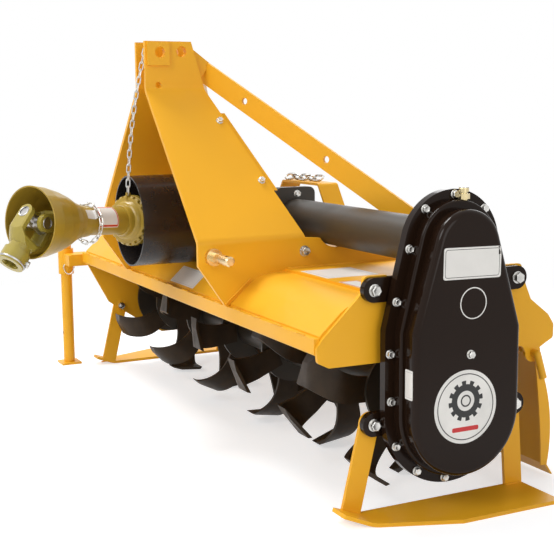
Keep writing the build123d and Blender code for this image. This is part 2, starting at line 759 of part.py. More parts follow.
def drive_tube():
    """Tube round the cross shaft, with a flange at the gearbox."""
    bore = DRIVE_TUBE_RADIUS - DRIVE_TUBE_WALL
    tube = rod_x(DRIVE_TUBE_RADIUS, TUBE_START, HALF_WIDTH, 0, DRIVE_Z)
    tube += tube_flange(TUBE_START)
    return tube - rod_x(bore, TUBE_START - 1, HALF_WIDTH + 1, 0, DRIVE_Z)


def pto_shield():
    """Open-fronted tube round the input joint, closed by a disc at the gearbox."""
    disc = 4.0
    shield = rod_y(SHIELD_RADIUS, SHIELD_FRONT, NOSE_FRONT, 0, DRIVE_Z)
    shield -= rod_y(SHIELD_RADIUS - SHIELD_WALL, SHIELD_FRONT - 1, NOSE_FRONT - disc, 0, DRIVE_Z)
    shield -= rod_y(INPUT_RADIUS + 8, SHIELD_FRONT, NOSE_FRONT + 1, 0, DRIVE_Z)
    return shield - plate_yz(below_hood(), -SHIELD_RADIUS, SHIELD_RADIUS)


# ---------------------------------------------------------------- skids and stand

def skid_leg(top_y, foot_y, inner_face):
    """One leg of a skid's web, round about its bolt and slanting to the sole."""
    half = SKID_LEG / 2
    leg = Pos(top_y, EAR_LOWER_Z) * Circle(half)
    leg += polygon(
        [
            (top_y - half, EAR_LOWER_Z),
            (foot_y - half, SKID_SHEET / 2),
            (foot_y + half, SKID_SHEET / 2),
            (top_y + half, EAR_LOWER_Z),
        ]
    )
    leg -= Pos(top_y, EAR_LOWER_Z) * Circle(EAR_HOLE_RADIUS)
    return plate_yz(leg, inner_face, inner_face + SKID_SHEET)


def skid(inner_face):
    """Right-hand skid shoe: a sole turned up in front and two legs to the side plate."""
    sole_section = bent_sheet(
        [(SKID_TIP, SKID_TIP_Z), (SKID_BEND, 0), (SKID_REAR, 0)], SKID_SHEET, [60.0]
    )
    sole = plate_yz(sole_section, inner_face, SKID_OUTER)
    corner = Polyline(
        (SKID_OUTER + 5, SKID_CUT_START),
        (SKID_OUTER + 5, SKID_TIP - 60),
        (SKID_CUT_INNER, SKID_TIP - 60),
        (SKID_CUT_INNER, SKID_TIP),
        close=True,
    )
    sole -= extrude(make_face(corner), amount=2 * SKID_TIP_Z + 40)
    front = skid_leg(EAR_FRONT_Y, SKID_FRONT_FOOT, inner_face)
    front -= plate_yz(
        [
            (SKID_TIP - 20, SKID_TIP_Z),
            (SKID_TIP, SKID_TIP_Z),
            (SKID_BEND, 0),
            (SKID_REAR, 0),
            (SKID_REAR, -20),
            (SKID_TIP - 20, -20),
        ],
        inner_face - 1,
        inner_face + SKID_SHEET + 1,
    )
    return sole + front + skid_leg(EAR_REAR_Y, SKID_REAR - SKID_LEG / 2, inner_face)


def skid_right():
    return skid(INSIDE)


def skid_left():
    return mirrored(skid(HALF_WIDTH))


def rotor_bearing():
    """Bearing housing bolted outside the left side plate."""
    outer, inner = -HALF_WIDTH - 34, -HALF_WIDTH
    housing = rod_x(72, inner - 12, inner, 0, ROTOR_Z)
    housing += rod_x(48, outer, inner, 0, ROTOR_Z)
    return housing - rod_x(STUB_RADIUS + RUNNING, outer + 8, inner + 1, 0, ROTOR_Z)


def stand_sleeve():
    """Round sleeve on an arm from the hood's left end."""
    height = SLEEVE_TOP - SLEEVE_BOTTOM
    middle = (SLEEVE_TOP + SLEEVE_BOTTOM) / 2
    arm_length = -HALF_WIDTH - STAND_X
    arm_depth = ARM_REAR_Y - STAND_Y + SLEEVE_RADIUS / 2
    sleeve = Pos(STAND_X, STAND_Y, middle) * Cylinder(SLEEVE_RADIUS, height)
    sleeve += Pos(STAND_X + arm_length / 2, ARM_REAR_Y - arm_depth / 2, ARM_Z) * Box(
        arm_length, arm_depth, ARM_HEIGHT
    )
    sleeve -= Pos(STAND_X, STAND_Y, middle) * Cylinder(SLEEVE_BORE, height + 2)
    return sleeve


def stand_leg():
    """Round leg with its adjusting hole."""
    length = LEG_TOP - FOOT_THICKNESS
    bore = LEG_RADIUS - LEG_WALL
    leg = Pos(STAND_X, STAND_Y, FOOT_THICKNESS + length / 2) * Cylinder(LEG_RADIUS, length)
    leg -= Pos(STAND_X, STAND_Y, LEG_TOP) * Cylinder(bore, 2 * (length - 20))
    return leg - rod_y(LEG_HOLE_RADIUS, STAND_Y - 30, STAND_Y + 30, STAND_X, LEG_HOLE_Z)


def stand_foot():
    return Pos(STAND_X, STAND_Y, FOOT_THICKNESS / 2) * Box(FOOT_SIZE, FOOT_SIZE, FOOT_THICKNESS)


# ---------------------------------------------------------------- tailgate

def tailgate_rod():
    """Hinge rod through both side plates, bent down outside the right one."""
    right = HALF_WIDTH + 14
    rod = rod_x(GATE_ROD_RADIUS, -HALF_WIDTH - 10, right, GATE_HINGE_Y, GATE_HINGE_Z)
    rod += Pos(right, GATE_HINGE_Y, GATE_HINGE_Z) * Sphere(GATE_ROD_RADIUS)
    tail = Pos(0, 0, -GATE_HANDLE_DROP / 2) * Cylinder(GATE_ROD_RADIUS, GATE_HANDLE_DROP)
    return rod + Pos(right, GATE_HINGE_Y, GATE_HINGE_Z) * Rot(GATE_HANDLE_TILT, 0, 0) * tail


def tailgate_panel():
    """Curved sheet with folded ends, hollow towards the rotor."""
    top = (GATE_HINGE_Y + 16, GATE_HINGE_Z - 6)
    middle = (GATE_HINGE_Y + 58, 150)
    heel = (GATE_HINGE_Y + 54, 30)
    toe = (GATE_HINGE_Y + 70, GATE_BOTTOM_Z)
    curve = ThreePointArc(top, middle, heel)
    rear = ThreePointArc(
        (top[0] + GATE_SHEET, top[1]),
        (middle[0] + GATE_SHEET, middle[1]),
        (heel[0] + GATE_SHEET, heel[1]),
    )
    sheet = make_face(
        curve
        + Line(heel, toe)
        + Line(toe, (toe[0] + GATE_SHEET, toe[1]))
        + Line((toe[0] + GATE_SHEET, toe[1]), (heel[0] + GATE_SHEET, heel[1]))
        + rear
        + Line(top, (top[0] + GATE_SHEET, top[1]))
    )
    inner = ThreePointArc(
        top, (middle[0] - GATE_END_FOLD, middle[1]), (heel[0] - GATE_END_FOLD / 2, heel[1])
    )
    fold = make_face(curve + Line(heel, (heel[0] - GATE_END_FOLD / 2, heel[1])) + inner)
    half = INSIDE - GATE_END_GAP
    panel = plate_yz(sheet, -half, half)
    panel += plate_yz(fold, half - GATE_SHEET, half)
    return panel + plate_yz(fold, -half, GATE_SHEET - half)


def knuckle_centres():
    """Middles of the tailgate's hinge knuckles along X."""
    count = 5
    outer = INSIDE - 80
    return [-outer + 2 * outer * i / (count - 1) for i in range(count)]


def tailgate_knuckles():
    """Hinge tubes that carry the tailgate on its rod."""
    half = GATE_KNUCKLE_LENGTH / 2
    knuckles = []
    for x in knuckle_centres():
        tube = rod_x(GATE_KNUCKLE_RADIUS, x - half, x + half, GATE_HINGE_Y, GATE_HINGE_Z)
        leaf = plate_yz(
            [
                (GATE_HINGE_Y + 4, GATE_HINGE_Z + 4),
                (GATE_HINGE_Y + 16, GATE_HINGE_Z + 2),
                (GATE_HINGE_Y + 16, GATE_HINGE_Z - 10),
                (GATE_HINGE_Y + 4, GATE_HINGE_Z - 10),
            ],
            x - half,
            x + half,
        )
        bore = rod_x(GATE_ROD_RADIUS + RUNNING, x - half - 1, x + half + 1, GATE_HINGE_Y, GATE_HINGE_Z)
        knuckles.append(tube + leaf - bore)
    return Compound(knuckles)


# ---------------------------------------------------------------- rotor

def flange_centres():
    """Middles of the rotor's flanges along X."""
    outer = FLANGE_SPACING * (FLANGES - 1) / 2
    return [-outer + FLANGE_SPACING * i for i in range(FLANGES)]


def rotor_shaft():
    """Rotor tube with its flanges and the stubs that run in the bearings."""
    end = INSIDE - END_GAP
    plug = 60.0
    shaft = rod_x(ROTOR_TUBE_RADIUS, -end, end, 0, ROTOR_Z)
    shaft -= rod_x(ROTOR_TUBE_RADIUS - ROTOR_TUBE_WALL, plug - end, end - plug, 0, ROTOR_Z)
    shaft += rod_x(STUB_RADIUS, -HALF_WIDTH - 20, plug - end, 0, ROTOR_Z)
    shaft += rod_x(STUB_RADIUS, end - plug, HALF_WIDTH + 6, 0, ROTOR_Z)
    for x in flange_centres():
        half = FLANGE_THICKNESS / 2
        shaft += rod_x(FLANGE_RADIUS, x - half, x + half, 0, ROTOR_Z)
    return shaft + rod_x(END_DISC_RADIUS, -end, END_DISC_THICKNESS - end, 0, ROTOR_Z)


def tine(side):
    """One bent tine on the flange at x = 0, pointing up. side is +1 or -1 along X.

    Its tip trails towards +y, against the rotor's turn.
    """
    face_x = FLANGE_THICKNESS / 2
    blade_r = SWING_RADIUS - 5.0
    section = bent_sheet(
        [(TINE_REACH, blade_r), (face_x, blade_r), (face_x, TINE_ROOT)],
        TINE_THICKNESS,
        [TINE_BEND],
    )
    half_depth = 100.0
    plane = Plane(origin=(0, half_depth, 0), x_dir=(1, 0, 0), z_dir=(0, -1, 0))
    blade = extrude(plane * section, amount=2 * half_depth)
    outline = make_face(
        Line((27, TINE_ROOT), (-27, TINE_ROOT))
        + Line((-27, TINE_ROOT), (-30, 112))
        + ThreePointArc((-30, 112), (-24, 165), (8, 214))
        + Line((8, 214), (90, 206))
        + ThreePointArc((90, 206), (40, 150), (27, 100))
        + Line((27, 100), (27, TINE_ROOT))
    )
    blade &= plate_yz(outline, -5, TINE_REACH + 10)
    blade &= Rot(0, 90, 0) * Cylinder(SWING_RADIUS, 4 * TINE_REACH)
    end_cut = Pos(TINE_REACH, -10, 0) * Rot(0, 0, 22) * Pos(40, 0, SWING_RADIUS) * Box(80, 300, 200)
    blade -= end_cut
    blade = blade.solids().sort_by(SortBy.VOLUME)[-1]
    return blade if side > 0 else mirror(blade, about=Plane.YZ)


def tine_set(index):
    """All tines of one flange, alternately bent to either side."""
    x = flange_centres()[index]
    pieces = []
    for number in range(TINES_PER_FLANGE):
        angle = SPIRAL_START + number * 360 / TINES_PER_FLANGE + index * SPIRAL_STEP
        side = 1 if number % 2 == 0 else -1
        pieces.append(Pos(x, 0, ROTOR_Z) * Rot(angle, 0, 0) * tine(side))
    return Compound(pieces)


# ---------------------------------------------------------------- drive shaft

def shaft_direction():
    swing, rise = math.radians(SHAFT_SWING), math.radians(SHAFT_RISE)
    return Vector(
        math.sin(swing) * math.cos(rise), -math.cos(swing) * math.cos(rise), math.sin(rise)
    )


def shaft_level():
    """Level direction square to the drive shaft: its yokes' pin axis."""
    swing = math.radians(SHAFT_SWING)
    return Vector(math.cos(swing), math.sin(swing), 0)


def inner_joint():
    return Vector(0, JOINT_Y, DRIVE_Z)


def outer_joint():
    return inner_joint() + shaft_direction() * SHAFT_LENGTH


def coupler_direction():
    """Way the outer yoke's hub points when it hangs on its stop."""
    droop = math.radians(DROOP)
    up = shaft_level().cross(shaft_direction()) * -1
    return shaft_direction() * math.cos(droop) - up * math.sin(droop)


def joint_plane(centre, pin_axis, hub_axis):
    """Frame of a yoke: its pins along local x, its hub along local z."""
    return Plane(origin=centre, x_dir=pin_axis, z_dir=hub_axis)


def yoke(hub_end, hub_bore):
    """Yoke with its joint centre at the origin, pins along x and hub along +z."""
    outer = YOKE_INNER + YOKE_EAR
    base_end = YOKE_BASE + YOKE_BASE_THICKNESS
    fork = make_face(
        Polyline(
            (-outer, -YOKE_EAR_RADIUS),
            (-outer, YOKE_BASE),
            (-YOKE_HUB_RADIUS, base_end + 6),
            (YOKE_HUB_RADIUS, base_end + 6),
            (outer, YOKE_BASE),
            (outer, -YOKE_EAR_RADIUS),
            (YOKE_INNER, -YOKE_EAR_RADIUS),
            (YOKE_INNER, YOKE_BASE - 6),
            (YOKE_INNER - 6, YOKE_BASE),
            (-YOKE_INNER + 6, YOKE_BASE),
            (-YOKE_INNER, YOKE_BASE - 6),
            (-YOKE_INNER, -YOKE_EAR_RADIUS),
            close=True,
        )
    )
    front = Plane(origin=(0, YOKE_HUB_RADIUS + 5, 0), x_dir=(1, 0, 0), z_dir=(0, -1, 0))
    body = extrude(front * fork, amount=2 * (YOKE_HUB_RADIUS + 5))
    side = Circle(YOKE_EAR_RADIUS) + polygon(
        [
            (-YOKE_EAR_RADIUS, 0),
            (YOKE_EAR_RADIUS, 0),
            (YOKE_EAR_RADIUS, YOKE_BASE - 8),
            (YOKE_HUB_RADIUS, YOKE_BASE + 4),
            (YOKE_HUB_RADIUS, base_end + 7),
            (-YOKE_HUB_RADIUS, base_end + 7),
            (-YOKE_HUB_RADIUS, YOKE_BASE + 4),
            (-YOKE_EAR_RADIUS, YOKE_BASE - 8),
        ]
    )
    body &= plate_yz(side, -outer - 1, outer + 1)
    turned = Plane.XZ * polygon(
        [
            (0, -2 * YOKE_EAR_RADIUS),
            (outer + YOKE_TURNED, -2 * YOKE_EAR_RADIUS),
            (outer + YOKE_TURNED, YOKE_BASE - 10),
            (YOKE_HUB_RADIUS + 1, base_end + 6),
            (0, base_end + 6),
        ]
    )
    body &= revolve(turned, Axis.Z, 360)
    body += Pos(0, 0, (YOKE_BASE + 6 + hub_end) / 2) * Cylinder(
        YOKE_HUB_RADIUS, hub_end - YOKE_BASE - 6
    )
    body -= Rot(0, 90, 0) * Cylinder(CUP_RADIUS, 3 * outer)
    if hub_bore:
        depth = hub_end - YOKE_BASE - YOKE_BASE_THICKNESS
        body -= Pos(0, 0, hub_end - depth / 2 + 1) * Cylinder(hub_bore, depth + 2)
    return body


def splined_hub_teeth():
    """Six internal splines of the outer yoke's hub, in the yoke's frame."""
    teeth = 6
    depth, width, length = 4.0, 8.5, 46.0
    ring = Sketch()
    for i in range(teeth):
        ring += Rot(0, 0, i * 360 / teeth) * Pos(INPUT_RADIUS - depth / 2 + 1, 0) * Rectangle(
            depth, width
        )
    return extrude(Pos(0, 0, COUPLER_HUB_END - length - 2) * ring, amount=length)


def input_yoke():
    """Gearbox input shaft with its yoke and the joint's cross, open at one pin pair."""
    plane = joint_plane(inner_joint(), Vector(0, 0, 1), Vector(0, 1, 0))
    body = yoke(YOKE_HUB_END, 0)
    body += cross(YOKE_INNER + YOKE_EAR - 1, CROSS_STUB, CUP_RADIUS)
    hub_to_gearbox = NOSE_FRONT + 58 - JOINT_Y
    body += Pos(0, 0, (YOKE_HUB_END + hub_to_gearbox) / 2 - 2) * Cylinder(
        INPUT_RADIUS, hub_to_gearbox - YOKE_HUB_END + 4
    )
    return plane * body


def cross(reach_x, reach_y, pin):
    """Joint cross with pins along x and y."""
    body = Rot(0, 90, 0) * Cylinder(pin, 2 * reach_x)
    return body + Rot(90, 0, 0) * Cylinder(pin, 2 * reach_y)


def drive_shaft():
    """Bar of the drive shaft between its two yokes, inside the guard."""
    length = SHAFT_LENGTH - 2 * (YOKE_HUB_END - 6)
    plane = Plane(
        origin=inner_joint() + shaft_direction() * (YOKE_HUB_END - 6),
        x_dir=shaft_level(),
        z_dir=shaft_direction(),
    )
    return extrude(plane * Circle(SHAFT_RADIUS), amount=length)


def shaft_yoke_inner():
    plane = joint_plane(inner_joint(), shaft_level(), shaft_direction())
    body = yoke(YOKE_HUB_END, 0)
    body -= Pos(0, 0, YOKE_HUB_END) * Cylinder(SHAFT_RADIUS, 12)
    return plane * body


def shaft_yoke_outer():
    plane = joint_plane(outer_joint(), shaft_level(), shaft_direction() * -1)
    body = yoke(YOKE_HUB_END, 0)
    body -= Pos(0, 0, YOKE_HUB_END) * Cylinder(SHAFT_RADIUS, 12)
    return plane * body


def joint_cross():
    plane = Plane(origin=outer_joint(), x_dir=shaft_level(), z_dir=coupler_direction())
    reach = YOKE_INNER + YOKE_EAR - 1
    return plane * cross(reach, reach, CUP_RADIUS - RUNNING)


def coupler_yoke():
    """Outer yoke with the splined hub that slides on the tractor's shaft."""
    pin_axis = coupler_direction().cross(shaft_level())
    plane = joint_plane(outer_joint(), pin_axis, coupler_direction())
    boss_length = COUPLER_HUB_END - COUPLER_BOSS_START
    boss = Pos(0, 0, COUPLER_BOSS_START + boss_length / 2) * Cylinder(
        COUPLER_BOSS_RADIUS, boss_length
    )
    boss -= Pos(0, 0, COUPLER_HUB_END) * Cylinder(INPUT_RADIUS + 1, 2 * boss_length + 4)
    return plane * (yoke(COUPLER_HUB_END, INPUT_RADIUS + 1) + boss + splined_hub_teeth())


def guard_plane():
    """Frame of the guard: y up, z along the drive shaft from the joint at the gearbox."""
    return Plane(origin=inner_joint(), x_dir=shaft_level(), z_dir=shaft_direction())


def guard_revolve(profile):
    """Turn a closed (radius, distance) profile round the drive shaft's axis."""
    face = make_face(Polyline(*profile, close=True))
    upright = Plane.XZ * face
    return guard_plane() * revolve(upright, Axis.Z, 360)


def guard_bell():
    """Plastic bell round the outer joint, its neck seated on the guard tube."""
    rim = SHAFT_LENGTH + BELL_OVERHANG
    outer = [
        (BELL_RADIUS, rim),
        (BELL_RADIUS - 3, rim - 30),
        (BELL_RADIUS - 11, rim - 64),
        (BELL_RADIUS - 21, rim - 92),
        (BELL_RADIUS - 33, rim - 116),
        (GUARD_RADIUS + 8, rim - 134),
        (GUARD_RADIUS + 4, rim - 154),
        (GUARD_RADIUS + 3, rim - BELL_LENGTH),
    ]
    inner = [(GUARD_RADIUS, rim - BELL_LENGTH), (GUARD_RADIUS, rim - 146)]
    inner += [(r - BELL_WALL, s) for r, s in reversed(outer[:5])]
    return guard_revolve(outer + inner)


def guard_tube():
    """Plastic tube between the bell and the collar."""
    end = SHAFT_LENGTH + BELL_OVERHANG - BELL_LENGTH + 14
    inner = GUARD_RADIUS - GUARD_WALL
    return guard_revolve(
        [(GUARD_RADIUS, GUARD_START), (GUARD_RADIUS, end), (inner, end), (inner, GUARD_START)]
    )


def lug_hole():
    """Middle of the hole in the collar's chain lug."""
    return guard_plane() * Pos(0, LUG_BASE + LUG_HOLE_RISE, COLLAR_REAR + LUG_PLACE)


def guard_collar():
    """Flared collar at the gearbox end, its rim notched like a ratchet, with the chain's lug."""
    wall = 9.0
    rear = COLLAR_REAR
    neck = rear + 34
    body = guard_revolve(
        [
            (COLLAR_RADIUS, rear),
            (COLLAR_RADIUS, rear + 14),
            (COLLAR_RADIUS - 5, rear + 17),
            (COLLAR_RADIUS - 9, rear + 23),
            (COLLAR_RADIUS - 13, rear + 24),
            (COLLAR_RADIUS - 19, rear + 33),
            (COLLAR_RADIUS - 23, rear + 35),
            (GUARD_RADIUS + 4, rear + 46),
            (GUARD_RADIUS + 2.5, rear + 50),
            (GUARD_RADIUS, rear + 50),
            (GUARD_RADIUS, neck),
            (GUARD_RADIUS + 5, neck - 6),
            (COLLAR_RADIUS - wall - 3, rear + 16),
            (COLLAR_RADIUS - wall, rear + 12),
            (COLLAR_RADIUS - wall, rear),
        ]
    )
    plane = guard_plane()
    tooth = Rot(45, 0, 0) * Box(2 * wall + 8, COLLAR_NOTCH, COLLAR_NOTCH)
    for i in range(COLLAR_TEETH):
        body -= plane * (Rot(0, 0, i * 360 / COLLAR_TEETH) * Pos(COLLAR_RADIUS, 0, rear) * tooth)
    lug = Pos(0, -2, 0) * Box(3.4, 2 * LUG_HOLE_RISE - 2, 13)
    lug -= Rot(0, 90, 0) * Cylinder(LUG_HOLE_RADIUS, 8)
    return body + lug_hole() * lug


# ---------------------------------------------------------------- chains

def link(pitch, width, wire):
    """Welded link of round wire, long along x and lying flat."""
    turns = 4
    radius = (width - wire) / 2
    centre = pitch / 2 + wire / 2 - radius
    path = [(0, -radius)]
    for end in (1, -1):
        for k in range(turns + 1):
            angle = math.radians(180 * k / turns - 90) + (math.pi if end < 0 else 0)
            path.append((end * centre + radius * math.cos(angle), radius * math.sin(angle)))
    path.append((0, -radius))
    section = Plane(origin=(0, -radius, 0), z_dir=(1, 0, 0)) * RegularPolygon(wire * 0.525, 6)
    return sweep(section, path=Polyline(*path), transition=Transition.RIGHT)


def string_links(places, side, size, turned=0.0):
    """Links at (point, direction) places, each turned a quarter against the last.

    side is the direction that the first link is wide along, and size its pitch, width and wire.
    """
    made = link(*size)
    links = []
    for number, (point, direction) in enumerate(places):
        across = (side - direction * side.dot(direction)).normalized()
        plane = Plane(origin=point, x_dir=direction, z_dir=direction.cross(across))
        links.append(plane * (Rot(turned + 90 * number, 0, 0) * made))
    return Compound(links)


def guard_chain():
    """Holding chain from a peg inside the mast's head down to the collar's lug."""
    low = Vector(*lug_hole().position)
    peg_x = CLEVIS_GAP / 2 - PEG_LENGTH / 2
    high = Vector(peg_x, PEG_Y, MAST_TOP_Z - PEG_DROP)
    middle = (low + high) * 0.5 - Vector(0, CHAIN_BOW, 0)
    path = ThreePointArc(low, middle, high)
    end_reach = (CHAIN_PITCH + CHAIN_WIRE) / 2 - 0.6
    length = path.length - 2 * end_reach + CHAIN_WIRE
    spaces = 2 * round(length / (2 * (CHAIN_PITCH - 0.5)) + 0.5) - 1
    places = []
    for number in range(spaces + 1):
        share = (end_reach + number * length / spaces) / path.length
        places.append((path @ share, (path % share)))
    links = string_links(places, Vector(1, 0, 0), (CHAIN_PITCH, CHAIN_WIDTH, CHAIN_WIRE))
    peg = rod_x(PEG_RADIUS, CLEVIS_GAP / 2 - PEG_LENGTH, CLEVIS_GAP / 2, high.Y, high.Z)
    return Compound([peg] + links.solids())


def guard_loop():
    """Chain hung in a loop round the guard tube, below the bell."""
    size = (CHAIN_PITCH, CHAIN_WIDTH, CHAIN_WIRE)
    drop = LOOP_RADIUS - GUARD_RADIUS - CHAIN_WIDTH / 2 - 0.3
    plane = guard_plane() * Pos(0, -drop, LOOP_PLACE)
    pitch = CHAIN_PITCH - 1.0
    count = 2 * round(math.pi * LOOP_RADIUS / pitch)
    places = []
    for number in range(count):
        angle = math.radians(360 * (number + 0.5) / count)
        point = plane * Pos(LOOP_RADIUS * math.cos(angle), LOOP_RADIUS * math.sin(angle), 0)
        along = shaft_level() * -math.sin(angle) + plane_up() * math.cos(angle)
        places.append((Vector(*point.position), along))
    return string_links(places, shaft_direction(), size)


def plane_up():
    return shaft_direction().cross(shaft_level())


def gate_chain():
    """Spare end of the tailgate's chain, lying along the top of its bracket."""
    size = (GATE_CHAIN_PITCH, GATE_CHAIN_WIDTH, GATE_CHAIN_WIRE)
    lift = (GATE_CHAIN_WIDTH - GATE_CHAIN_WIRE) / 2 * math.sin(math.radians(45))
    z = BRACKET_TOP_Z + lift + GATE_CHAIN_WIRE * 0.525
    direction = Vector(1, 0.2, 0).normalized()
    middle = Vector(-20, BRACKET_FRONT + BRACKET_DEPTH / 2 - 4, z)
    places = []
    for number in range(GATE_CHAIN_LINKS):
        offset = (number - (GATE_CHAIN_LINKS - 1) / 2) * (GATE_CHAIN_PITCH - 1.4)
        places.append((middle + direction * offset, direction))
    return string_links(places, Vector(0, 1, 0), size, 45)


# ---------------------------------------------------------------- writing

NODES = {
    "hood_shell": hood_shell,
    "hood_deck": hood_deck,
    "hood_front_bar": hood_front_bar,
    "side_plate_right": side_plate_right,
    "side_plate_left": side_plate_left,
    "mast_plate_right": mast_plate_right,
    "mast_plate_left": lambda: mirrored(mast_plate()),
    "mast_channel": mast_channel,
    "brace_right": brace,
    "brace_left": lambda: mirrored(brace()),
    "brace_lug_right": brace_lug,
    "brace_lug_left": lambda: mirrored(brace_lug()),
    "lower_pin_right": lower_pin,
    "lower_pin_left": lambda: mirrored(lower_pin()),
    "chain_bracket": chain_bracket,
    "gearbox_case": gearbox_case,
    "drive_tube": drive_tube,
    "gear_case_housing": gear_case_housing,
    "gear_case_cover": gear_case_cover,
    "gear_case_breather": gear_case_breather,
    "pto_shield": pto_shield,
    "skid_right": skid_right,
    "skid_left": skid_left,
    "rotor_bearing": rotor_bearing,
    "stand_sleeve": stand_sleeve,
    "tailgate_rod": tailgate_rod,
    "guard_bell": guard_bell,
    "guard_tube": guard_tube,
    "guard_collar": guard_collar,
    "guard_chain": guard_chain,
    "guard_loop": guard_loop,
    "gate_chain": gate_chain,
    "stand_leg": stand_leg,
    "stand_foot": stand_foot,
    "tailgate_panel": tailgate_panel,
    "tailgate_knuckles": tailgate_knuckles,
    "rotor_shaft": rotor_shaft,
    "tines_1": lambda: tine_set(0),
    "tines_2": lambda: tine_set(1),
    "tines_3": lambda: tine_set(2),
    "tines_4": lambda: tine_set(3),
    "tines_5": lambda: tine_set(4),
    "tines_6": lambda: tine_set(5),
    "input_yoke": input_yoke,
    "drive_shaft": drive_shaft,
    "shaft_yoke_inner": shaft_yoke_inner,
    "shaft_yoke_outer": shaft_yoke_outer,
    "joint_cross": joint_cross,
    "coupler_yoke": coupler_yoke,
}


def main():
    os.makedirs("parts", exist_ok=True)
    for name, make in NODES.items():
        shape = Pos(0, ROTOR_TO_ORIGIN, 0) * make()
        export_step(shape, f"parts/{name}.step")


main()
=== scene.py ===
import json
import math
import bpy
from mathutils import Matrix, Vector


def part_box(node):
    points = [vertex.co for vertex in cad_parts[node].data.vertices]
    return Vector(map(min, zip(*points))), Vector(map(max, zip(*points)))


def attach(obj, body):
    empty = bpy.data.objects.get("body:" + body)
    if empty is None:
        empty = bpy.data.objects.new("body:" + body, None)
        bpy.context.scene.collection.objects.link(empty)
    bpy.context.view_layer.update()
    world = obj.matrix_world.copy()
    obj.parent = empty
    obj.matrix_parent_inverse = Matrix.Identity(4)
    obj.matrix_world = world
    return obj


bl_info = {
    "name": "Rotary tiller finish",
    "version": (1, 0, 0),
    "blender": (4, 5, 0),
    "location": "View3D > Sidebar > Tiller",
    "description": "Adds finishes, fasteners, welds, plates and a stage to the tiller's frame",
    "category": "Object",
}

import bmesh
import bpy
from mathutils import Matrix, Vector

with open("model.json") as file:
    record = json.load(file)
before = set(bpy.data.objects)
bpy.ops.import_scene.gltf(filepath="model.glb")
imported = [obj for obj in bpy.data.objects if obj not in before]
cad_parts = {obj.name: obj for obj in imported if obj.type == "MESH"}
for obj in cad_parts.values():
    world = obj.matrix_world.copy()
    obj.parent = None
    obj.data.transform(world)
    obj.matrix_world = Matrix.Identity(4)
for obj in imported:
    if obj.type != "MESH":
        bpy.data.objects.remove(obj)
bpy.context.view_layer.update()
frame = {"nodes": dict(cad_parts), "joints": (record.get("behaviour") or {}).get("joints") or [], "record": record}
NODES = frame["nodes"]
JOINTS = {joint["name"]: joint for joint in frame["joints"]}
ROTOR = Vector(JOINTS["rotor_spin"]["pos_m"])
INNER = Vector(JOINTS["driveline_spin"]["pos_m"])
OUTER = Vector(JOINTS["cross_tilt"]["pos_m"])
SHAFT = Vector(JOINTS["driveline_spin"]["axis"]).normalized()
LEVEL = Vector(JOINTS["cross_tilt"]["axis"]).normalized()
SWING = Vector(JOINTS["coupler_swing"]["axis"]).normalized()
COVER_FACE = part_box("gear_case_cover")[1][0]
DECK_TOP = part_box("hood_deck")[1][2]
FINISHES = {}
MM = 0.001

# Places on the frame that the added pieces sit on, in millimetres; y counts from the rotor's axis
ROTOR_Z = 208
DRIVE_Z = 532
RIM_SETBACK = 60
RIM_BOLTS = (
    (2, 632), (73, 601), (-66, 606), (-101, 531), (-129, 431), (-143, 331), (-140, 237),
    (-128, 146), (-79, 89), (-13, 66), (66, 82), (128, 140), (143, 203), (143, 331),
    (129, 431), (101, 520),
)
MAST_BOLTS = ((-188, 771), (-139, 633))
COVER_BOLT = (2, 327)
BEARING_FACE = -774
BEARING_BOLT_CIRCLE = 60
BEARING_BOLT_TURNS = (0.6, 2.2, 3.7, 5.3)
TUBE_FLANGE_FACE = 138
TUBE_FLANGE_BOLTS = ((4, 592), (-38, 472), (38, 472))
GEARBOX_BOLT_TURNS = (0.8, 2.37, 3.94, 5.51)
CAP_FACE = -114
CAP_BOLT_CIRCLE = 54
NOSE_FACE = -126
NOSE_BOLT_CIRCLE = 69
EAR_BOLTS = ((-164, 453), (178, 453), (-164, 188), (178, 188))
SKID_BOLTS = EAR_BOLTS[2:]
EAR_FACE = 776
EAR_BACK = 754
LEFT_SKID_FACE = -770
LEFT_PLATE_BACK = -754
GUSSET_BOLT = (-85, 477)
GUSSET_FACE = 343
GUSSET_BACK = 333
STRAP_BOLT = (232, 112)
STRAP_THICKNESS = 6
STAND_SLEEVE = (-842, -313, 326)
STAND_SLEEVE_RADIUS = 23.2
BRACE_FOOT = (636, 166, 466)
BRACE_HALF_THICKNESS = 8
BRACE_HALF_WIDTH = 21
SIGN_MIDDLE = (-7, 224)
SIGN_HUB = (-7, 236)

# Across the width of the right-hand rear brace's lower end, and out of its front face
BRACE_ACROSS = (0.8665, 0.499)
BRACE_FRONT = (0.499, -0.8665)

# Out of the hood's front slope and up it, and out of the coupling's release pin
SLOPE_OUT = (0, -0.67, 0.743)
SLOPE_UP = (0, 0.743, 0.67)
RELEASE_OUT = (0.38, 0.8, -0.47)

# Places along the drive shaft's outer part from its inner joint, and along the coupling from
# the outer joint, in millimetres
COLLAR_ALONG = 82
RELEASE_ALONG = 96
BAND_ALONG = 106

# Weld beads of each side: name, x on the right and on the left, then y and z of both ends
WELD_Z = DECK_TOP / MM + 0.5
SIDE_WELDS = (
    ("gusset_weld_{}", 344, -344, (-126, WELD_Z), (180, WELD_Z)),
    ("slope_weld_{}", 344, -344, (-282, 372), (-222, 424)),
    ("skid_weld_{}_1", 763, -771, (-228, 8.5), (-188, 8.5)),
    ("skid_weld_{}_2", 763, -771, (172, 8.5), (212, 8.5)),
)
LIP_WELD = (-283, 367.5)
LIP_WELD_HALF = 16
LIP_WELDS_AT = range(-700, 701, 100)
ARM_WELD = ((-763, -318, 357.5), (-763, -256, 357.5))

# Camera: azimuth from +Y towards -X, fall below level and roll, in degrees
CAMERA_TURN = (63.5, 8.55, -0.49)

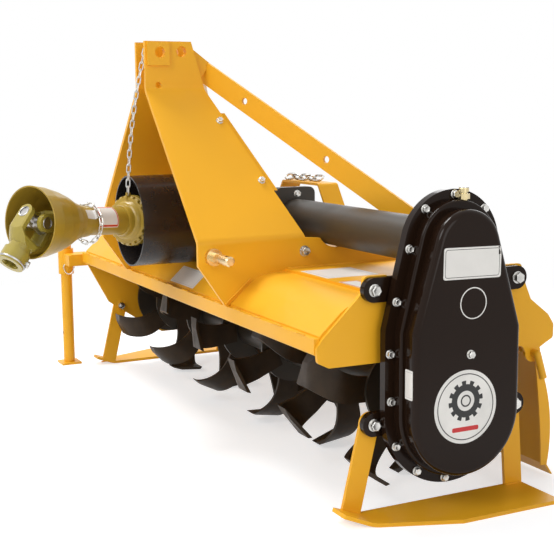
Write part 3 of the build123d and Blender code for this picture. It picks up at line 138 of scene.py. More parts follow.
# Lamps: name, place and diameter in metres, power in watts
LAMPS = (
    ("key", (1.4, -3.7, 3.2), 2.2, 84),
    ("fill", (4.2, 0.1, 1.6), 2.4, 30),
    ("top", (-1.5, -0.9, 4.2), 1.8, 135),
    ("back", (-2.5, 3.0, 2.2), 2.5, 24),
)
LAMP_TARGET = (0, 0, 0.4)
FLOOR_SIZE = 60
FLOOR_NEAR = 1.15
FLOOR_FAR = 2.6


def at(x, y, z):
    """A place in millimetres, with y measured from the rotor's axis."""
    return Vector((x * MM, y * MM + ROTOR.y, z * MM))


def brace_foot(side):
    """A rear brace's lower bolt, the way across the bar and the way out of its front."""
    across = Vector((BRACE_ACROSS[0] * side, BRACE_ACROSS[1], 0))
    front = Vector((BRACE_FRONT[0] * side, BRACE_FRONT[1], 0))
    return at(side * BRACE_FOOT[0], *BRACE_FOOT[1:]), across, front


def mast_face(side, y, z):
    """Place and outside of the mast's sloping plate at a height."""
    foot_z, slope, half_head, proud = 844, 307 / 336, 36, 3.5
    x = half_head + (foot_z - z) * slope + proud
    return facing(at(side * x, y, z), (side * 0.738, 0, 0.675), z)


# ---------------------------------------------------------------- finishes

def seen_by_eye(tree):
    """Socket that is 1 for what the eye sees, straight, in a gloss or through glass."""
    path = tree.nodes.new("ShaderNodeLightPath")
    mirrored = tree.nodes.new("ShaderNodeMath")
    seen = tree.nodes.new("ShaderNodeMath")
    mirrored.operation = seen.operation = "MAXIMUM"
    tree.links.new(path.outputs["Is Glossy Ray"], mirrored.inputs[0])
    tree.links.new(path.outputs["Is Transmission Ray"], mirrored.inputs[1])
    tree.links.new(path.outputs["Is Camera Ray"], seen.inputs[0])
    tree.links.new(mirrored.outputs[0], seen.inputs[1])
    return seen.outputs[0]


class Shader:
    """A material's node tree, with short calls for the nodes that the finishes share."""

    def __init__(self, name):
        self.material = bpy.data.materials.new(name)
        self.material.use_nodes = True
        self.tree = self.material.node_tree
        self.main = self.tree.nodes["Principled BSDF"]
        self.place = self.node("ShaderNodeTexCoord").outputs["Object"]

    def node(self, kind, **settings):
        """Add a node with its settings."""
        made = self.tree.nodes.new(kind)
        for key, value in settings.items():
            setattr(made, key, value)
        return made

    def link(self, start, end):
        self.tree.links.new(start, end)

    def noise(self, scale, detail):
        """Cloudy noise on the object's own coordinates, per metre."""
        texture = self.node("ShaderNodeTexNoise")
        texture.inputs["Scale"].default_value = scale
        texture.inputs["Detail"].default_value = detail
        self.link(self.place, texture.inputs["Vector"])
        return texture.outputs["Fac"]

    def spread(self, source, low, high, start=0.3, end=0.7):
        """The source's span from start to end, drawn out to low and high."""
        ramp = self.node("ShaderNodeMapRange")
        ramp.inputs["From Min"].default_value = start
        ramp.inputs["From Max"].default_value = end
        ramp.inputs["To Min"].default_value = low
        ramp.inputs["To Max"].default_value = high
        self.link(source, ramp.inputs["Value"])
        return ramp.outputs["Result"]

    def mix(self, factor, first, second):
        """A blend of two colours, each a socket or a plain triple."""
        mixer = self.node("ShaderNodeMix", data_type="RGBA")
        self.link(factor, mixer.inputs["Factor"])
        for socket, colour in ((mixer.inputs["A"], first), (mixer.inputs["B"], second)):
            if isinstance(colour, bpy.types.NodeSocket):
                self.link(colour, socket)
            else:
                socket.default_value = (*colour, 1)
        return mixer.outputs["Result"]

    def bump(self, height, strength, distance):
        """Fine relief on the finish, its distance in metres."""
        bumper = self.node("ShaderNodeBump")
        bumper.inputs["Strength"].default_value = strength
        bumper.inputs["Distance"].default_value = distance
        self.link(height, bumper.inputs["Height"])
        self.link(bumper.outputs["Normal"], self.main.inputs["Normal"])

    def vector(self, operation, first, second):
        """A vector step, its inputs sockets or plain triples."""
        step = self.node("ShaderNodeVectorMath", operation=operation)
        for socket, value in zip(step.inputs, (first, second)):
            if isinstance(value, bpy.types.NodeSocket):
                self.link(value, socket)
            elif value is not None:
                socket.default_value = value
        return step.outputs["Value" if operation == "LENGTH" else "Vector"]

    def colour(self, scale, detail, colour, low, high):
        """Set the base colour, drifting between a darker and a lighter shade of it."""
        drift = self.spread(self.noise(scale, detail), 0, 1)
        tone = self.mix(drift, shade(colour, low), shade(colour, high))
        self.link(tone, self.main.inputs["Base Color"])

    def gloss(self, source, low, high):
        """Set the roughness, drifting between two values."""
        self.link(self.spread(source, low, high), self.main.inputs["Roughness"])

    def number(self, operation, first, second):
        """A number step from a socket and a plain number."""
        step = self.node("ShaderNodeMath", operation=operation)
        self.link(first, step.inputs[0])
        step.inputs[1].default_value = second
        return step.outputs["Value"]

    def set(self, **values):
        """Set the finish's own sockets by name."""
        for key, value in values.items():
            self.main.inputs[key.replace("_", " ")].default_value = value


def shade(colour, factor):
    """A colour made lighter or darker."""
    return tuple(channel * factor for channel in colour)


def painted(name, colour, roughness, coat=0.0, peel=0.25, gloss_level=0.5):
    """Sprayed paint: slight drift of colour and gloss, with an orange-peel surface."""
    shader = Shader(name)
    shader.colour(2.2, 4, colour, 0.93, 1.04)
    shader.gloss(shader.noise(9, 5), roughness * 0.85, roughness * 1.25)
    shader.bump(shader.noise(420, 2), peel, 0.0002)
    shader.set(Coat_Weight=coat, Coat_Roughness=0.12, Specular_IOR_Level=gloss_level)
    return shader.material


def metal(name, colour, roughness):
    """Plated or machined metal with a fine grain."""
    shader = Shader(name)
    shader.colour(30, 4, colour, 0.8, 1.1)
    shader.gloss(shader.noise(60, 4), roughness * 0.8, roughness * 1.4)
    shader.bump(shader.noise(900, 3), 0.2, 0.0001)
    shader.set(Metallic=1.0)
    return shader.material


def plastic(name, colour, roughness):
    """Moulded plastic with a faint mottle."""
    shader = Shader(name)
    shader.colour(14, 5, colour, 0.88, 1.08)
    shader.gloss(shader.noise(35, 4), roughness * 0.94, roughness * 1.1)
    shader.bump(shader.noise(300, 4), 0.2, 0.0002)
    return shader.material


def tine_finish(name, colour):
    """Dark dip paint over forged steel, mottled and slightly rough."""
    shader = Shader(name)
    shader.colour(18, 6, colour, 0.7, 1.5)
    shader.gloss(shader.noise(40, 5), 0.34, 0.55)
    shader.bump(shader.noise(160, 5), 0.35, 0.0005)
    shader.set(Specular_IOR_Level=0.22)
    return shader.material


def sticker_finish(name, ground, line, size, margin, stroke, corner):
    """Vinyl with a thin printed border; all sizes in millimetres, on a sheet of that size."""
    shader = Shader(name)
    sheet = shader.node("ShaderNodeTexCoord").outputs["UV"]
    centred = shader.vector("SUBTRACT", sheet, (0.5, 0.5, 0))
    in_sizes = shader.vector("MULTIPLY", centred, (size[0], size[1], 0))
    folded = shader.vector("ABSOLUTE", in_sizes, None)
    inner = [side / 2 - margin - corner for side in size]
    beyond = shader.vector("SUBTRACT", folded, (inner[0], inner[1], 0))
    outside = shader.vector("MAXIMUM", beyond, (0, 0, 0))
    reach = shader.vector("LENGTH", outside, None)
    off = shader.number("ABSOLUTE", shader.number("SUBTRACT", reach, corner), 0)
    on_line = shader.number("LESS_THAN", off, stroke / 2)
    drift = shader.spread(shader.noise(25, 3), 0, 1)
    vinyl = shader.mix(drift, shade(ground, 0.95), ground)
    shader.link(shader.mix(on_line, vinyl, line), shader.main.inputs["Base Color"])
    shader.gloss(shader.noise(60, 4), 0.3, 0.45)
    return shader.material


def finishes():
    """Every finish by its name, the record's slot names among them."""
    colours = bpy.context.scene.tiller_paint
    ink = (0.012, 0.012, 0.012)
    vinyl = tuple(colours.plate_colour)
    return {
        "yellow_paint": painted(
            "yellow paint", tuple(colours.frame_colour), 0.38, coat=0.05, gloss_level=0.26
        ),
        "black_paint": painted(
            "black enamel", tuple(colours.case_colour), 0.12, peel=0.1, gloss_level=0.15
        ),
        "satin": painted(
            "satin black paint", (0.034, 0.027, 0.019), 0.42, peel=0.5, gloss_level=0.45
        ),
        "black_plastic": plastic("black plastic", (0.016, 0.012, 0.011), 0.26),
        "tine_steel": tine_finish("dipped tine steel", (0.03, 0.0185, 0.0095)),
        "guard_plastic": plastic("mustard plastic", tuple(colours.guard_colour), 0.3),
        "yoke_paint": painted("olive yoke paint", (0.37, 0.29, 0.045), 0.3, coat=0.3, peel=0.6),
        "bare_steel": metal("turned steel", (0.52, 0.51, 0.5), 0.3),
        "zinc": metal("zinc plate", (0.66, 0.65, 0.62), 0.26),
        "yellow_zinc": metal("yellow zinc plate", (0.78, 0.62, 0.36), 0.24),
        "brass_fitting": metal("brass", (0.72, 0.6, 0.34), 0.26),
        "white_vinyl": plastic("white vinyl", vinyl, 0.34),
        "black_print": plastic("black print", ink, 0.34),
        "red_print": plastic("red print", (0.55, 0.02, 0.02), 0.34),
        "case_plate": sticker_finish("case plate", vinyl, ink, (132, 61), 4, 1.1, 5),
        "plain_plate": sticker_finish("plain plate", vinyl, (0.5, 0.5, 0.5), (60, 40), 3, 0.6, 2),
        "red_plate": sticker_finish("red plate", vinyl, (0.6, 0.05, 0.02), (60, 40), 2.2, 2.6, 2),
    }


# ---------------------------------------------------------------- modelling

def start(kind, **settings):
    """Add a primitive with nothing else selected, and go into its edit mode."""
    if bpy.context.mode != "OBJECT":
        bpy.ops.object.mode_set(mode="OBJECT")
    bpy.ops.object.select_all(action="DESELECT")
    getattr(bpy.ops.mesh, f"primitive_{kind}_add")(**settings)
    bpy.ops.object.mode_set(mode="EDIT")


def choose(test, kind="FACE"):
    """Select what passes the test, in the mesh being edited."""
    bpy.ops.mesh.select_mode(type=kind)
    bpy.ops.mesh.select_all(action="DESELECT")
    mesh = bmesh.from_edit_mesh(bpy.context.object.data)
    for item in {"FACE": mesh.faces, "EDGE": mesh.edges, "VERT": mesh.verts}[kind]:
        if test(item):
            item.select_set(True)
    mesh.select_flush_mode()
    bmesh.update_edit_mesh(bpy.context.object.data)


def top_of(height):
    """Test for the faces that look up from at least this height."""
    return lambda face: face.normal.z > 0.9 and face.calc_center_median().z > height - 1e-6


def inset_up(thickness, height):
    """Draw the chosen faces inwards and lift them."""
    bpy.ops.mesh.inset(thickness=thickness)
    bpy.ops.transform.translate(value=(0, 0, height))


def extrude_up(height, widen=None):
    """Draw the chosen faces out upwards, and widen or narrow them."""
    bpy.ops.mesh.extrude_region_move(TRANSFORM_OT_translate={"value": (0, 0, height)})
    if widen:
        bpy.ops.transform.resize(value=(widen, widen, 1))


def alternate_sides(step):
    """Test for every second side of an upright prism with a side each step of degrees."""
    return lambda face: abs(face.normal.z) < 0.1 and round(
        math.atan2(face.normal.y, face.normal.x) / math.radians(step) - 0.5) % 2 == 0


def near_seam(angle):
    """Test for the points of a ring that lie within an angle, in radians, of its +X side."""
    return lambda spot: abs(math.atan2(spot.co.y, spot.co.x)) < angle


def soften(width, segments=2):
    """Round the sharp edges of the piece in hand."""
    add_modifier("BEVEL", width=width, segments=segments, limit_method="ANGLE")


def add_modifier(kind, **settings):
    """Add a modifier to the piece in hand and apply it."""
    if bpy.context.mode != "OBJECT":
        bpy.ops.object.mode_set(mode="OBJECT")
    modifier = bpy.context.object.modifiers.new("shape", kind)
    for key, value in settings.items():
        setattr(modifier, key, value)
    bpy.ops.object.modifier_apply(modifier=modifier.name)


def facing(place, outward, spin=0.0, upward=None):
    """Turn and place for a piece modelled on the origin with its outside along +Z."""
    if upward is None:
        turn = Vector(outward).to_track_quat("Z", "Y").to_matrix()
    else:
        out = Vector(outward).normalized()
        across = Vector(upward).cross(out).normalized()
        turn = Matrix((across, out.cross(across), out)).transposed()
    return Matrix.Translation(place) @ turn.to_4x4() @ Matrix.Rotation(spin, 4, "Z")


def settle(name, body, finish, placed=None, smooth=32):
    """Put the piece in hand in its place and give it its body and finish."""
    if bpy.context.mode != "OBJECT":
        bpy.ops.object.mode_set(mode="OBJECT")
    piece = bpy.context.object
    if placed is not None:
        piece.matrix_world = placed @ piece.matrix_world
    bpy.ops.object.transform_apply(location=True, rotation=True, scale=True)
    bpy.ops.object.shade_smooth_by_angle(angle=math.radians(smooth))
    piece.name = piece.data.name = name
    piece.data.materials.clear()
    piece.data.materials.append(FINISHES[finish])
    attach(piece, body)


def set_out(name, body, finish, places):
    """Copy the piece in hand to every place, each copy with its own mesh."""
    if bpy.context.mode != "OBJECT":
        bpy.ops.object.mode_set(mode="OBJECT")
    pattern = bpy.context.object
    for number, placed in enumerate(places, 1):
        bpy.ops.object.select_all(action="DESELECT")
        pattern.select_set(True)
        bpy.context.view_layer.objects.active = pattern
        bpy.ops.object.duplicate(linked=False)
        settle(f"{name}_{number}", body, finish, placed)
    bpy.ops.object.select_all(action="DESELECT")
    pattern.select_set(True)
    bpy.ops.object.delete()


def model_bolt(across, flange, height):
    """A hexagon head on a round flange, standing on the origin; sizes in metres."""
    rim = 1.6 * MM
    start("cylinder", vertices=32, radius=flange, depth=rim, location=(0, 0, rim / 2))
    choose(top_of(rim))
    inset_up((flange - across / 2) * 0.7, rim * 0.6)
    bpy.ops.mesh.primitive_cylinder_add(
        vertices=6, radius=across / math.sqrt(3), depth=height, location=(0, 0, rim + height / 2)
    )
    choose(top_of(height))
    inset_up(across * 0.09, height * 0.12)
    inset_up(across * 0.06, -height * 0.05)
    soften(0.3 * MM)


def model_nut(across, height, thread):
    """A hexagon nut with the bolt's end standing out of it, on the origin."""
    start("cylinder", vertices=6, radius=across / math.sqrt(3), depth=height,
          location=(0, 0, height / 2))
    choose(top_of(height))
    inset_up(across * 0.08, height * 0.1)
    bpy.ops.mesh.primitive_cylinder_add(
        vertices=24, radius=thread, depth=height * 1.7, location=(0, 0, height * 0.85)
    )
    choose(top_of(height * 1.6))
    inset_up(thread * 0.25, thread * 0.2)
    soften(0.3 * MM)


def weld_bead(name, first, last, radius):
    """A run of overlapping weld ripples on the frame from one end to the other, painted over."""
    step = radius * 0.75
    start("uv_sphere", segments=8, ring_count=6, radius=radius)
    bpy.ops.transform.resize(value=(0.62, 1, 0.8))
    count = max(2, round((last - first).length / step))
    add_modifier(
        "ARRAY", use_relative_offset=False, use_constant_offset=True,
        constant_offset_displace=(step, 0, 0), count=count
    )
    along = (last - first).to_track_quat("X", "Z").to_matrix().to_4x4()
    settle(name, "root", "yellow_paint", Matrix.Translation(first) @ along, smooth=50)


def sticker(name, target, finish, size, placed, cells=(12, 6), corner=5.0):
    """A rounded sheet pressed on to the face behind it; size and corner in millimetres."""
    width, height = size[0] * MM, size[1] * MM
    start("grid", x_subdivisions=cells[0], y_subdivisions=cells[1], size=1)
    bpy.ops.transform.resize(value=(width, height, 1))
    choose(
        lambda spot: abs(spot.co.x) > width * 0.499 and abs(spot.co.y) > height * 0.499, "VERT"
    )
    bpy.ops.mesh.bevel(offset=corner * MM, segments=4, affect="VERTICES")
    bpy.ops.object.mode_set(mode="OBJECT")
    bpy.context.object.matrix_world = placed
    add_modifier(
        "SHRINKWRAP", wrap_method="PROJECT", use_project_z=True, use_negative_direction=True,
        use_positive_direction=True, target=NODES[target], offset=0.15 * MM
    )
    add_modifier("SOLIDIFY", thickness=0.3 * MM, offset=1)
    settle(name, "root", finish)


# ---------------------------------------------------------------- settings

class TillerPaint(bpy.types.PropertyGroup):
    frame_colour: bpy.props.FloatVectorProperty(
        name="Frame colour",
        description="Powder coat of the hood, mast, skids and tailgate",
        subtype="COLOR",
        size=3,
        default=(0.87, 0.43, 0.018),
    )
    case_colour: bpy.props.FloatVectorProperty(
        name="Gear case colour",
        description="Enamel of the gear case and gearbox",
        subtype="COLOR",
        size=3,
        default=(0.014, 0.0065, 0.0034),
    )
    guard_colour: bpy.props.FloatVectorProperty(
        name="Guard colour",
        description="Plastic of the drive shaft's guard",
        subtype="COLOR",
        size=3,
        default=(0.40, 0.26, 0.028),
    )
    plate_colour: bpy.props.FloatVectorProperty(
        name="Label colour",
        description="Ground of the blank labels",
        subtype="COLOR",
        size=3,
        default=(0.80, 0.78, 0.74),
    )


class TillerHardware(bpy.types.PropertyGroup):
    case_bolt: bpy.props.FloatProperty(
        name="Case bolt", description="Width across flats of the gear case's rim bolts",
        unit="LENGTH", default=0.013
    )
    ear_bolt: bpy.props.FloatProperty(
        name="Ear bolt", description="Width across flats of the bolts that hold case and skids",
        unit="LENGTH", default=0.019
    )
    brace_bolt: bpy.props.FloatProperty(
        name="Brace bolt", description="Width across flats of the bolts at the braces' feet",
        unit="LENGTH", default=0.024
    )
    bead: bpy.props.FloatProperty(
        name="Weld bead", description="Half width of the weld beads",
        unit="LENGTH", default=0.0028
    )


class TillerStage(bpy.types.PropertyGroup):
    camera_place: bpy.props.FloatVectorProperty(
        name="Camera", description="Place of the camera", subtype="TRANSLATION",
        size=3, default=(2.534, -1.027, 0.790)
    )
    lens: bpy.props.FloatProperty(
        name="Lens", description="Focal length on a 36 mm sensor", unit="CAMERA", default=71.0
    )
    daylight: bpy.props.FloatProperty(
        name="Surrounding light", description="Strength of the even light from all round",
        default=0.42
    )


# ---------------------------------------------------------------- pieces

class TILLER_OT_finishes(bpy.types.Operator):
    """Give every node of the frame its material"""

    bl_idname = "tiller.finishes"
    bl_label = "Finish the frame"

    def execute(self, context):
        FINISHES.update(finishes())
        kept = {part["node"]: part["material_slot"] for part in frame["record"]["subparts"]}
        kept["drive_tube"] = kept["rotor_shaft"] = "satin"
        kept["lower_pin_right"] = kept["lower_pin_left"] = "yellow_zinc"
        for name, node in NODES.items():
            node.data.materials.clear()
            node.data.materials.append(FINISHES[kept[name]])
        return {"FINISHED"}


class TILLER_OT_bolts(bpy.types.Operator):
    """Set out the bolts and nuts"""

    bl_idname = "tiller.bolts"
    bl_label = "Bolts"

    def execute(self, context):
        sizes = context.scene.tiller_hardware
        rim_x = COVER_FACE / MM - RIM_SETBACK
        model_bolt(sizes.case_bolt, sizes.case_bolt * 0.68, 6.5 * MM)
        places = [
            facing(at(rim_x, y, z), (1, 0, 0), number) for number, (y, z) in enumerate(RIM_BOLTS)
        ]
        places.append(facing(at(COVER_FACE / MM, *COVER_BOLT), (1, 0, 0), 0.4))
        places += [mast_face(side, y, z) for side in (1, -1) for y, z in MAST_BOLTS]
        for turn in BEARING_BOLT_TURNS:
            across = BEARING_BOLT_CIRCLE * math.cos(turn)
            rise = BEARING_BOLT_CIRCLE * math.sin(turn)
            places.append(facing(at(BEARING_FACE, across, ROTOR_Z + rise), (-1, 0, 0), turn))
        places += [facing(at(TUBE_FLANGE_FACE, y, z), (1, 0, 0), y) for y, z in TUBE_FLANGE_BOLTS]
        for turn in GEARBOX_BOLT_TURNS:
            across, rise = math.cos(turn), math.sin(turn)
            cap = at(CAP_FACE, CAP_BOLT_CIRCLE * across, DRIVE_Z + CAP_BOLT_CIRCLE * rise)
            places.append(facing(cap, (-1, 0, 0), turn))
            nose = at(NOSE_BOLT_CIRCLE * across, NOSE_FACE, DRIVE_Z + NOSE_BOLT_CIRCLE * rise)
            places.append(facing(nose, (0, -1, 0), turn))
        set_out("small_bolt", "root", "zinc", places)

        model_bolt(sizes.ear_bolt, sizes.ear_bolt * 0.66, 9 * MM)
        places = [facing(at(EAR_FACE, y, z), (1, 0, 0), y) for y, z in EAR_BOLTS]
        places += [facing(at(LEFT_SKID_FACE, y, z), (-1, 0, 0), y) for y, z in SKID_BOLTS]
        for side in (1, -1):
            places.append(facing(at(side * GUSSET_FACE, *GUSSET_BOLT), (side, 0, 0), 0.3))
        for side in (1, -1):
            strap = at(side * STRAP_BOLT[0], STRAP_BOLT[1], DECK_TOP / MM + STRAP_THICKNESS)
            places.append(facing(strap, (0, 0, 1), 0.5))
        set_out("bolt", "root", "zinc", places)

        model_bolt(sizes.brace_bolt, sizes.brace_bolt * 0.68, 11 * MM)
        places = []
        for foot, _, front in map(brace_foot, (1, -1)):
            places.append(facing(foot - front * BRACE_HALF_THICKNESS * MM, -front))
        set_out("brace_bolt", "root", "zinc", places)

        model_nut(sizes.brace_bolt, 12 * MM, 7.5 * MM)
        places = []
        for foot, _, front in map(brace_foot, (1, -1)):
            places.append(facing(foot + front * BRACE_HALF_THICKNESS * MM, front, 0.4))
        set_out("brace_nut", "root", "zinc", places)

        model_nut(sizes.ear_bolt, 9 * MM, 6 * MM)
        places = [
            facing(at(side * GUSSET_BACK, *GUSSET_BOLT), (-side, 0, 0), 0.7) for side in (1, -1)
        ]
        places += [facing(at(EAR_BACK, y, z), (-1, 0, 0), 0.2) for y, z in EAR_BOLTS]
        places += [facing(at(LEFT_PLATE_BACK, y, z), (1, 0, 0), 0.2) for y, z in SKID_BOLTS]
        set_out("nut", "root", "zinc", places)
        return {"FINISHED"}


class TILLER_OT_welds(bpy.types.Operator):
    """Lay the weld beads"""

    bl_idname = "tiller.welds"
    bl_label = "Weld beads"

    def execute(self, context):
        bead = context.scene.tiller_hardware.bead
        for side, end in ((1, "right"), (-1, "left")):
            for name, right_x, left_x, first, last in SIDE_WELDS:
                x = right_x if side > 0 else left_x
                weld_bead(name.format(end), at(x, *first), at(x, *last), bead)
            _, across, front = brace_foot(side)
            lug = at(side * BRACE_FOOT[0], BRACE_FOOT[1], WELD_Z) + front * 8.5 * MM
            half = across * BRACE_HALF_WIDTH * MM
            weld_bead(f"lug_weld_{end}", lug - half, lug + half, bead)
        for number, x in enumerate(LIP_WELDS_AT, 1):
            ends = (at(x - LIP_WELD_HALF, *LIP_WELD), at(x + LIP_WELD_HALF, *LIP_WELD))
            weld_bead(f"bar_weld_{number}", *ends, bead * 0.8)
        weld_bead("arm_weld", at(*ARM_WELD[0]), at(*ARM_WELD[1]), bead)
        return {"FINISHED"}


class TILLER_OT_fittings(bpy.types.Operator):
    """Make the breather's cap, the grease nipples and the joints' snap rings"""

    bl_idname = "tiller.fittings"
    bl_label = "Small fittings"

    def execute(self, context):
        low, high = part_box("gear_case_breather")
        middle = (Vector(low) + Vector(high)) / 2
        start("cylinder", vertices=24, radius=9 * MM, depth=6 * MM, location=(0, 0, 3 * MM))
        choose(top_of(5 * MM))
        inset_up(2 * MM, 1.6 * MM)
        inset_up(2.5 * MM, 0.8 * MM)
        choose(alternate_sides(15))
        bpy.ops.mesh.extrude_region_shrink_fatten(TRANSFORM_OT_shrink_fatten={"value": 0.7 * MM})
        soften(0.25 * MM)
        settle("breather_cap", "root", "zinc",
               facing((middle.x, middle.y, high[2] - 4.5 * MM), (0, 0, 1)))

        start("cylinder", vertices=40, radius=55.5 * MM, depth=9 * MM)
        choose(alternate_sides(9))
        bpy.ops.mesh.extrude_region_shrink_fatten(TRANSFORM_OT_shrink_fatten={"value": 4.2 * MM})
        choose(lambda edge: min(math.hypot(v.co.x, v.co.y) for v in edge.verts) > 58 * MM
               and all(v.co.z > 0 for v in edge.verts), "EDGE")
        bpy.ops.transform.translate(value=(0, 0, -3.5 * MM))
        soften(0.4 * MM)
        settle("collar_ribs", "root", "guard_plastic", facing(INNER + SHAFT * COLLAR_ALONG * MM, SHAFT))

        start("cylinder", vertices=20, radius=3.4 * MM, depth=5 * MM, location=(0, 0, 2.5 * MM))
        choose(top_of(4 * MM))
        bpy.ops.mesh.inset(thickness=1.2 * MM)
        extrude_up(3 * MM)
        extrude_up(1 * MM, 1.35)
        extrude_up(2 * MM, 0.6)
        soften(0.25 * MM)
        toward = (SWING - LEVEL).normalized()
        set_out("grease_nipple", "cross", "zinc", [facing(OUTER + toward * 13 * MM, toward)])

        start("torus", major_segments=40, minor_segments=8, major_radius=12 * MM,
              minor_radius=1.1 * MM)
        choose(near_seam(0.3), "VERT")
        bpy.ops.mesh.delete(type="VERT")
        choose(near_seam(0.62), "VERT")
        bpy.ops.transform.resize(value=(1, 1, 1.9), center_override=(0, 0, 0))
        choose(lambda edge: edge.is_boundary, "EDGE")
        bpy.ops.mesh.edge_face_add()
        places = [
            facing(OUTER + axis * side * 40.4 * MM, axis * side, 1.1)
            for axis in (LEVEL, SWING) for side in (1, -1)
        ]
        set_out("snap_ring", "cross", "bare_steel", places)
        return {"FINISHED"}


class TILLER_OT_pins(bpy.types.Operator):
    """Make the stand's pin with its ring and the coupling's release"""

    bl_idname = "tiller.pins"
    bl_label = "Pins"

    def execute(self, context):
        start("cylinder", vertices=28, radius=5.5 * MM, depth=16 * MM, location=(0, 0, 8 * MM))
        choose(top_of(15 * MM))
        extrude_up(0.1 * MM, 1.75)
        extrude_up(4 * MM)
        inset_up(2.2 * MM, 1.6 * MM)
        soften(0.6 * MM, 3)
        sleeve = at(*STAND_SLEEVE)
        pin_place = sleeve + Vector((STAND_SLEEVE_RADIUS * MM, 0, 0))
        set_out("stand_pin", "root", "zinc", [facing(pin_place, (1, 0, 0))])

        start("torus", major_segments=48, minor_segments=10, major_radius=17 * MM,
              minor_radius=1.7 * MM)
        choose(lambda spot: spot.co.y < 0, "VERT")
        bpy.ops.transform.resize(value=(0.86, 1.15, 1))
        settle("stand_ring", "root", "zinc",
               facing(sleeve + Vector((31 * MM, 0, -15 * MM)), (0.94, -0.34, 0), 0, (0, 0, 1)))

        hub = LEVEL.cross(SWING).normalized()
        if hub.z > 0:
            hub.negate()
        release = Vector(RELEASE_OUT).normalized()
        start("cylinder", vertices=28, radius=8 * MM, depth=7 * MM, location=(0, 0, 3.5 * MM))
        choose(top_of(6 * MM))
        bpy.ops.mesh.inset(thickness=2 * MM)
        extrude_up(4.5 * MM)
        inset_up(1.2 * MM, 0.9 * MM)
        soften(0.5 * MM, 3)
        pin_place = OUTER + hub * RELEASE_ALONG * MM + release * 29 * MM
        set_out("release_pin", "coupler", "zinc", [facing(pin_place, release)])

        start("torus", major_segments=56, minor_segments=12, major_radius=29.5 * MM,
              minor_radius=2.6 * MM)
        choose(lambda spot: abs(spot.co.z) < 1.4 * MM, "VERT")
        bpy.ops.transform.resize(value=(1.012, 1.012, 1))
        band_place = OUTER + hub * BAND_ALONG * MM
        set_out("release_band", "coupler", "bare_steel", [facing(band_place, hub)])
        return {"FINISHED"}


def disc(name, radius, finish, place, lift, ring=None):
    """A thin printed disc or ring on the gear case's cover; sizes in millimetres."""
    start("circle", vertices=96, radius=radius * MM, fill_type="NGON")
    if ring:
        choose(lambda face: True)
        bpy.ops.mesh.inset(thickness=ring * MM)
        bpy.ops.mesh.delete(type="FACE")
    add_modifier("SOLIDIFY", thickness=0.25 * MM, offset=1)
    settle(name, "root", finish, facing(place + Vector((lift * MM, 0, 0)), (1, 0, 0)))


class TILLER_OT_labels(bpy.types.Operator):
    """Put on the blank labels and the case's round sign"""

    bl_idname = "tiller.labels"
    bl_label = "Labels"

    def execute(self, context):
        face = COVER_FACE / MM
        right, up = (1, 0, 0), (0, 0, 1)
        sticker("case_label", "gear_case_cover", "case_plate", (134, 61),
                facing(at(face, 4, 504.5), right, 0, (0, 0.02, 1)), (14, 6))
        sticker("case_side_label", "gear_case_cover", "plain_plate", (24, 58),
                facing(at(838, -126, 277), (0, -1, 0), 0, up), (4, 8), 2)
        sticker("deck_label_1", "hood_deck", "plain_plate", (125, 128),
                facing(at(462, -62, DECK_TOP / MM), up, 0, (0, 1, 0)), corner=3)
        sticker("deck_label_2", "hood_deck", "red_plate", (100, 44),
                facing(at(628, -108, DECK_TOP / MM), up, 0, (0, 1, 0)), corner=3)
        sticker("slope_label", "hood_shell", "plain_plate", (150, 52),
                facing(at(40, -256, 396), SLOPE_OUT, 0, SLOPE_UP), (16, 10), 2)
        around = LEVEL * -math.cos(0.5) + LEVEL.cross(SHAFT) * math.sin(0.5)
        sticker("guard_label_1", "guard_tube", "red_plate", (62, 52),
                facing(INNER + SHAFT * 178 * MM + around * 33 * MM, around, 0,
                       SHAFT.cross(around)), (12, 16), 3)
        sticker("guard_label_2", "guard_bell", "plain_plate", (30, 22),
                facing(INNER + SHAFT * 238 * MM + around * 40 * MM, around, 0,
                       SHAFT.cross(around)), (8, 8), 2)

        disc("case_ring", 31, "white_vinyl", at(face, 7.5, 426.5), 0.05, ring=2.2)
        middle = at(face, *SIGN_MIDDLE)
        disc("sign_ground", 73, "white_vinyl", middle, 0.05)
        disc("sign_border", 66, "black_print", middle, 0.35, ring=1.8)
        start("cylinder", vertices=48, radius=33 * MM, depth=0.3 * MM)
        choose(lambda item: abs(item.normal.z) < 0.1 and int(
            (math.atan2(item.normal.y, item.normal.x) + math.pi) / math.radians(7.5)) % 4 < 2)
        bpy.ops.mesh.extrude_region_move()
        bpy.ops.transform.resize(value=(1.22, 1.22, 1), center_override=(0, 0, 0))
        soften(0.05 * MM, 1)
        settle("sign_cog", "root", "black_print",
               facing(middle + Vector((0.35 * MM, 0, 12 * MM)), (1, 0, 0)))
        disc("sign_hub", 20, "white_vinyl", at(face, *SIGN_HUB), 0.45)
        disc("sign_hub_ring", 12, "black_print", at(face, *SIGN_HUB), 0.6, ring=3)
        start("cube", size=1)
        bpy.ops.transform.resize(value=(0.3 * MM, 62 * MM, 9 * MM))
        choose(lambda edge: abs((edge.verts[0].co - edge.verts[1].co).normalized().x) > 0.9, "EDGE")
        bpy.ops.mesh.bevel(offset=3 * MM, segments=4)
        settle("sign_stripe", "root", "red_print", Matrix.Translation(at(face + 0.35, -7, 180)))
        return {"FINISHED"}


def look_rotation(azimuth, fall, roll):
    """Camera turn for a view along an azimuth from +Y towards -X, tilted down by fall."""
    return (
        Matrix.Rotation(azimuth, 4, "Z")
        @ Matrix.Rotation(math.pi / 2 - fall, 4, "X")
        @ Matrix.Rotation(roll, 4, "Z")
    )


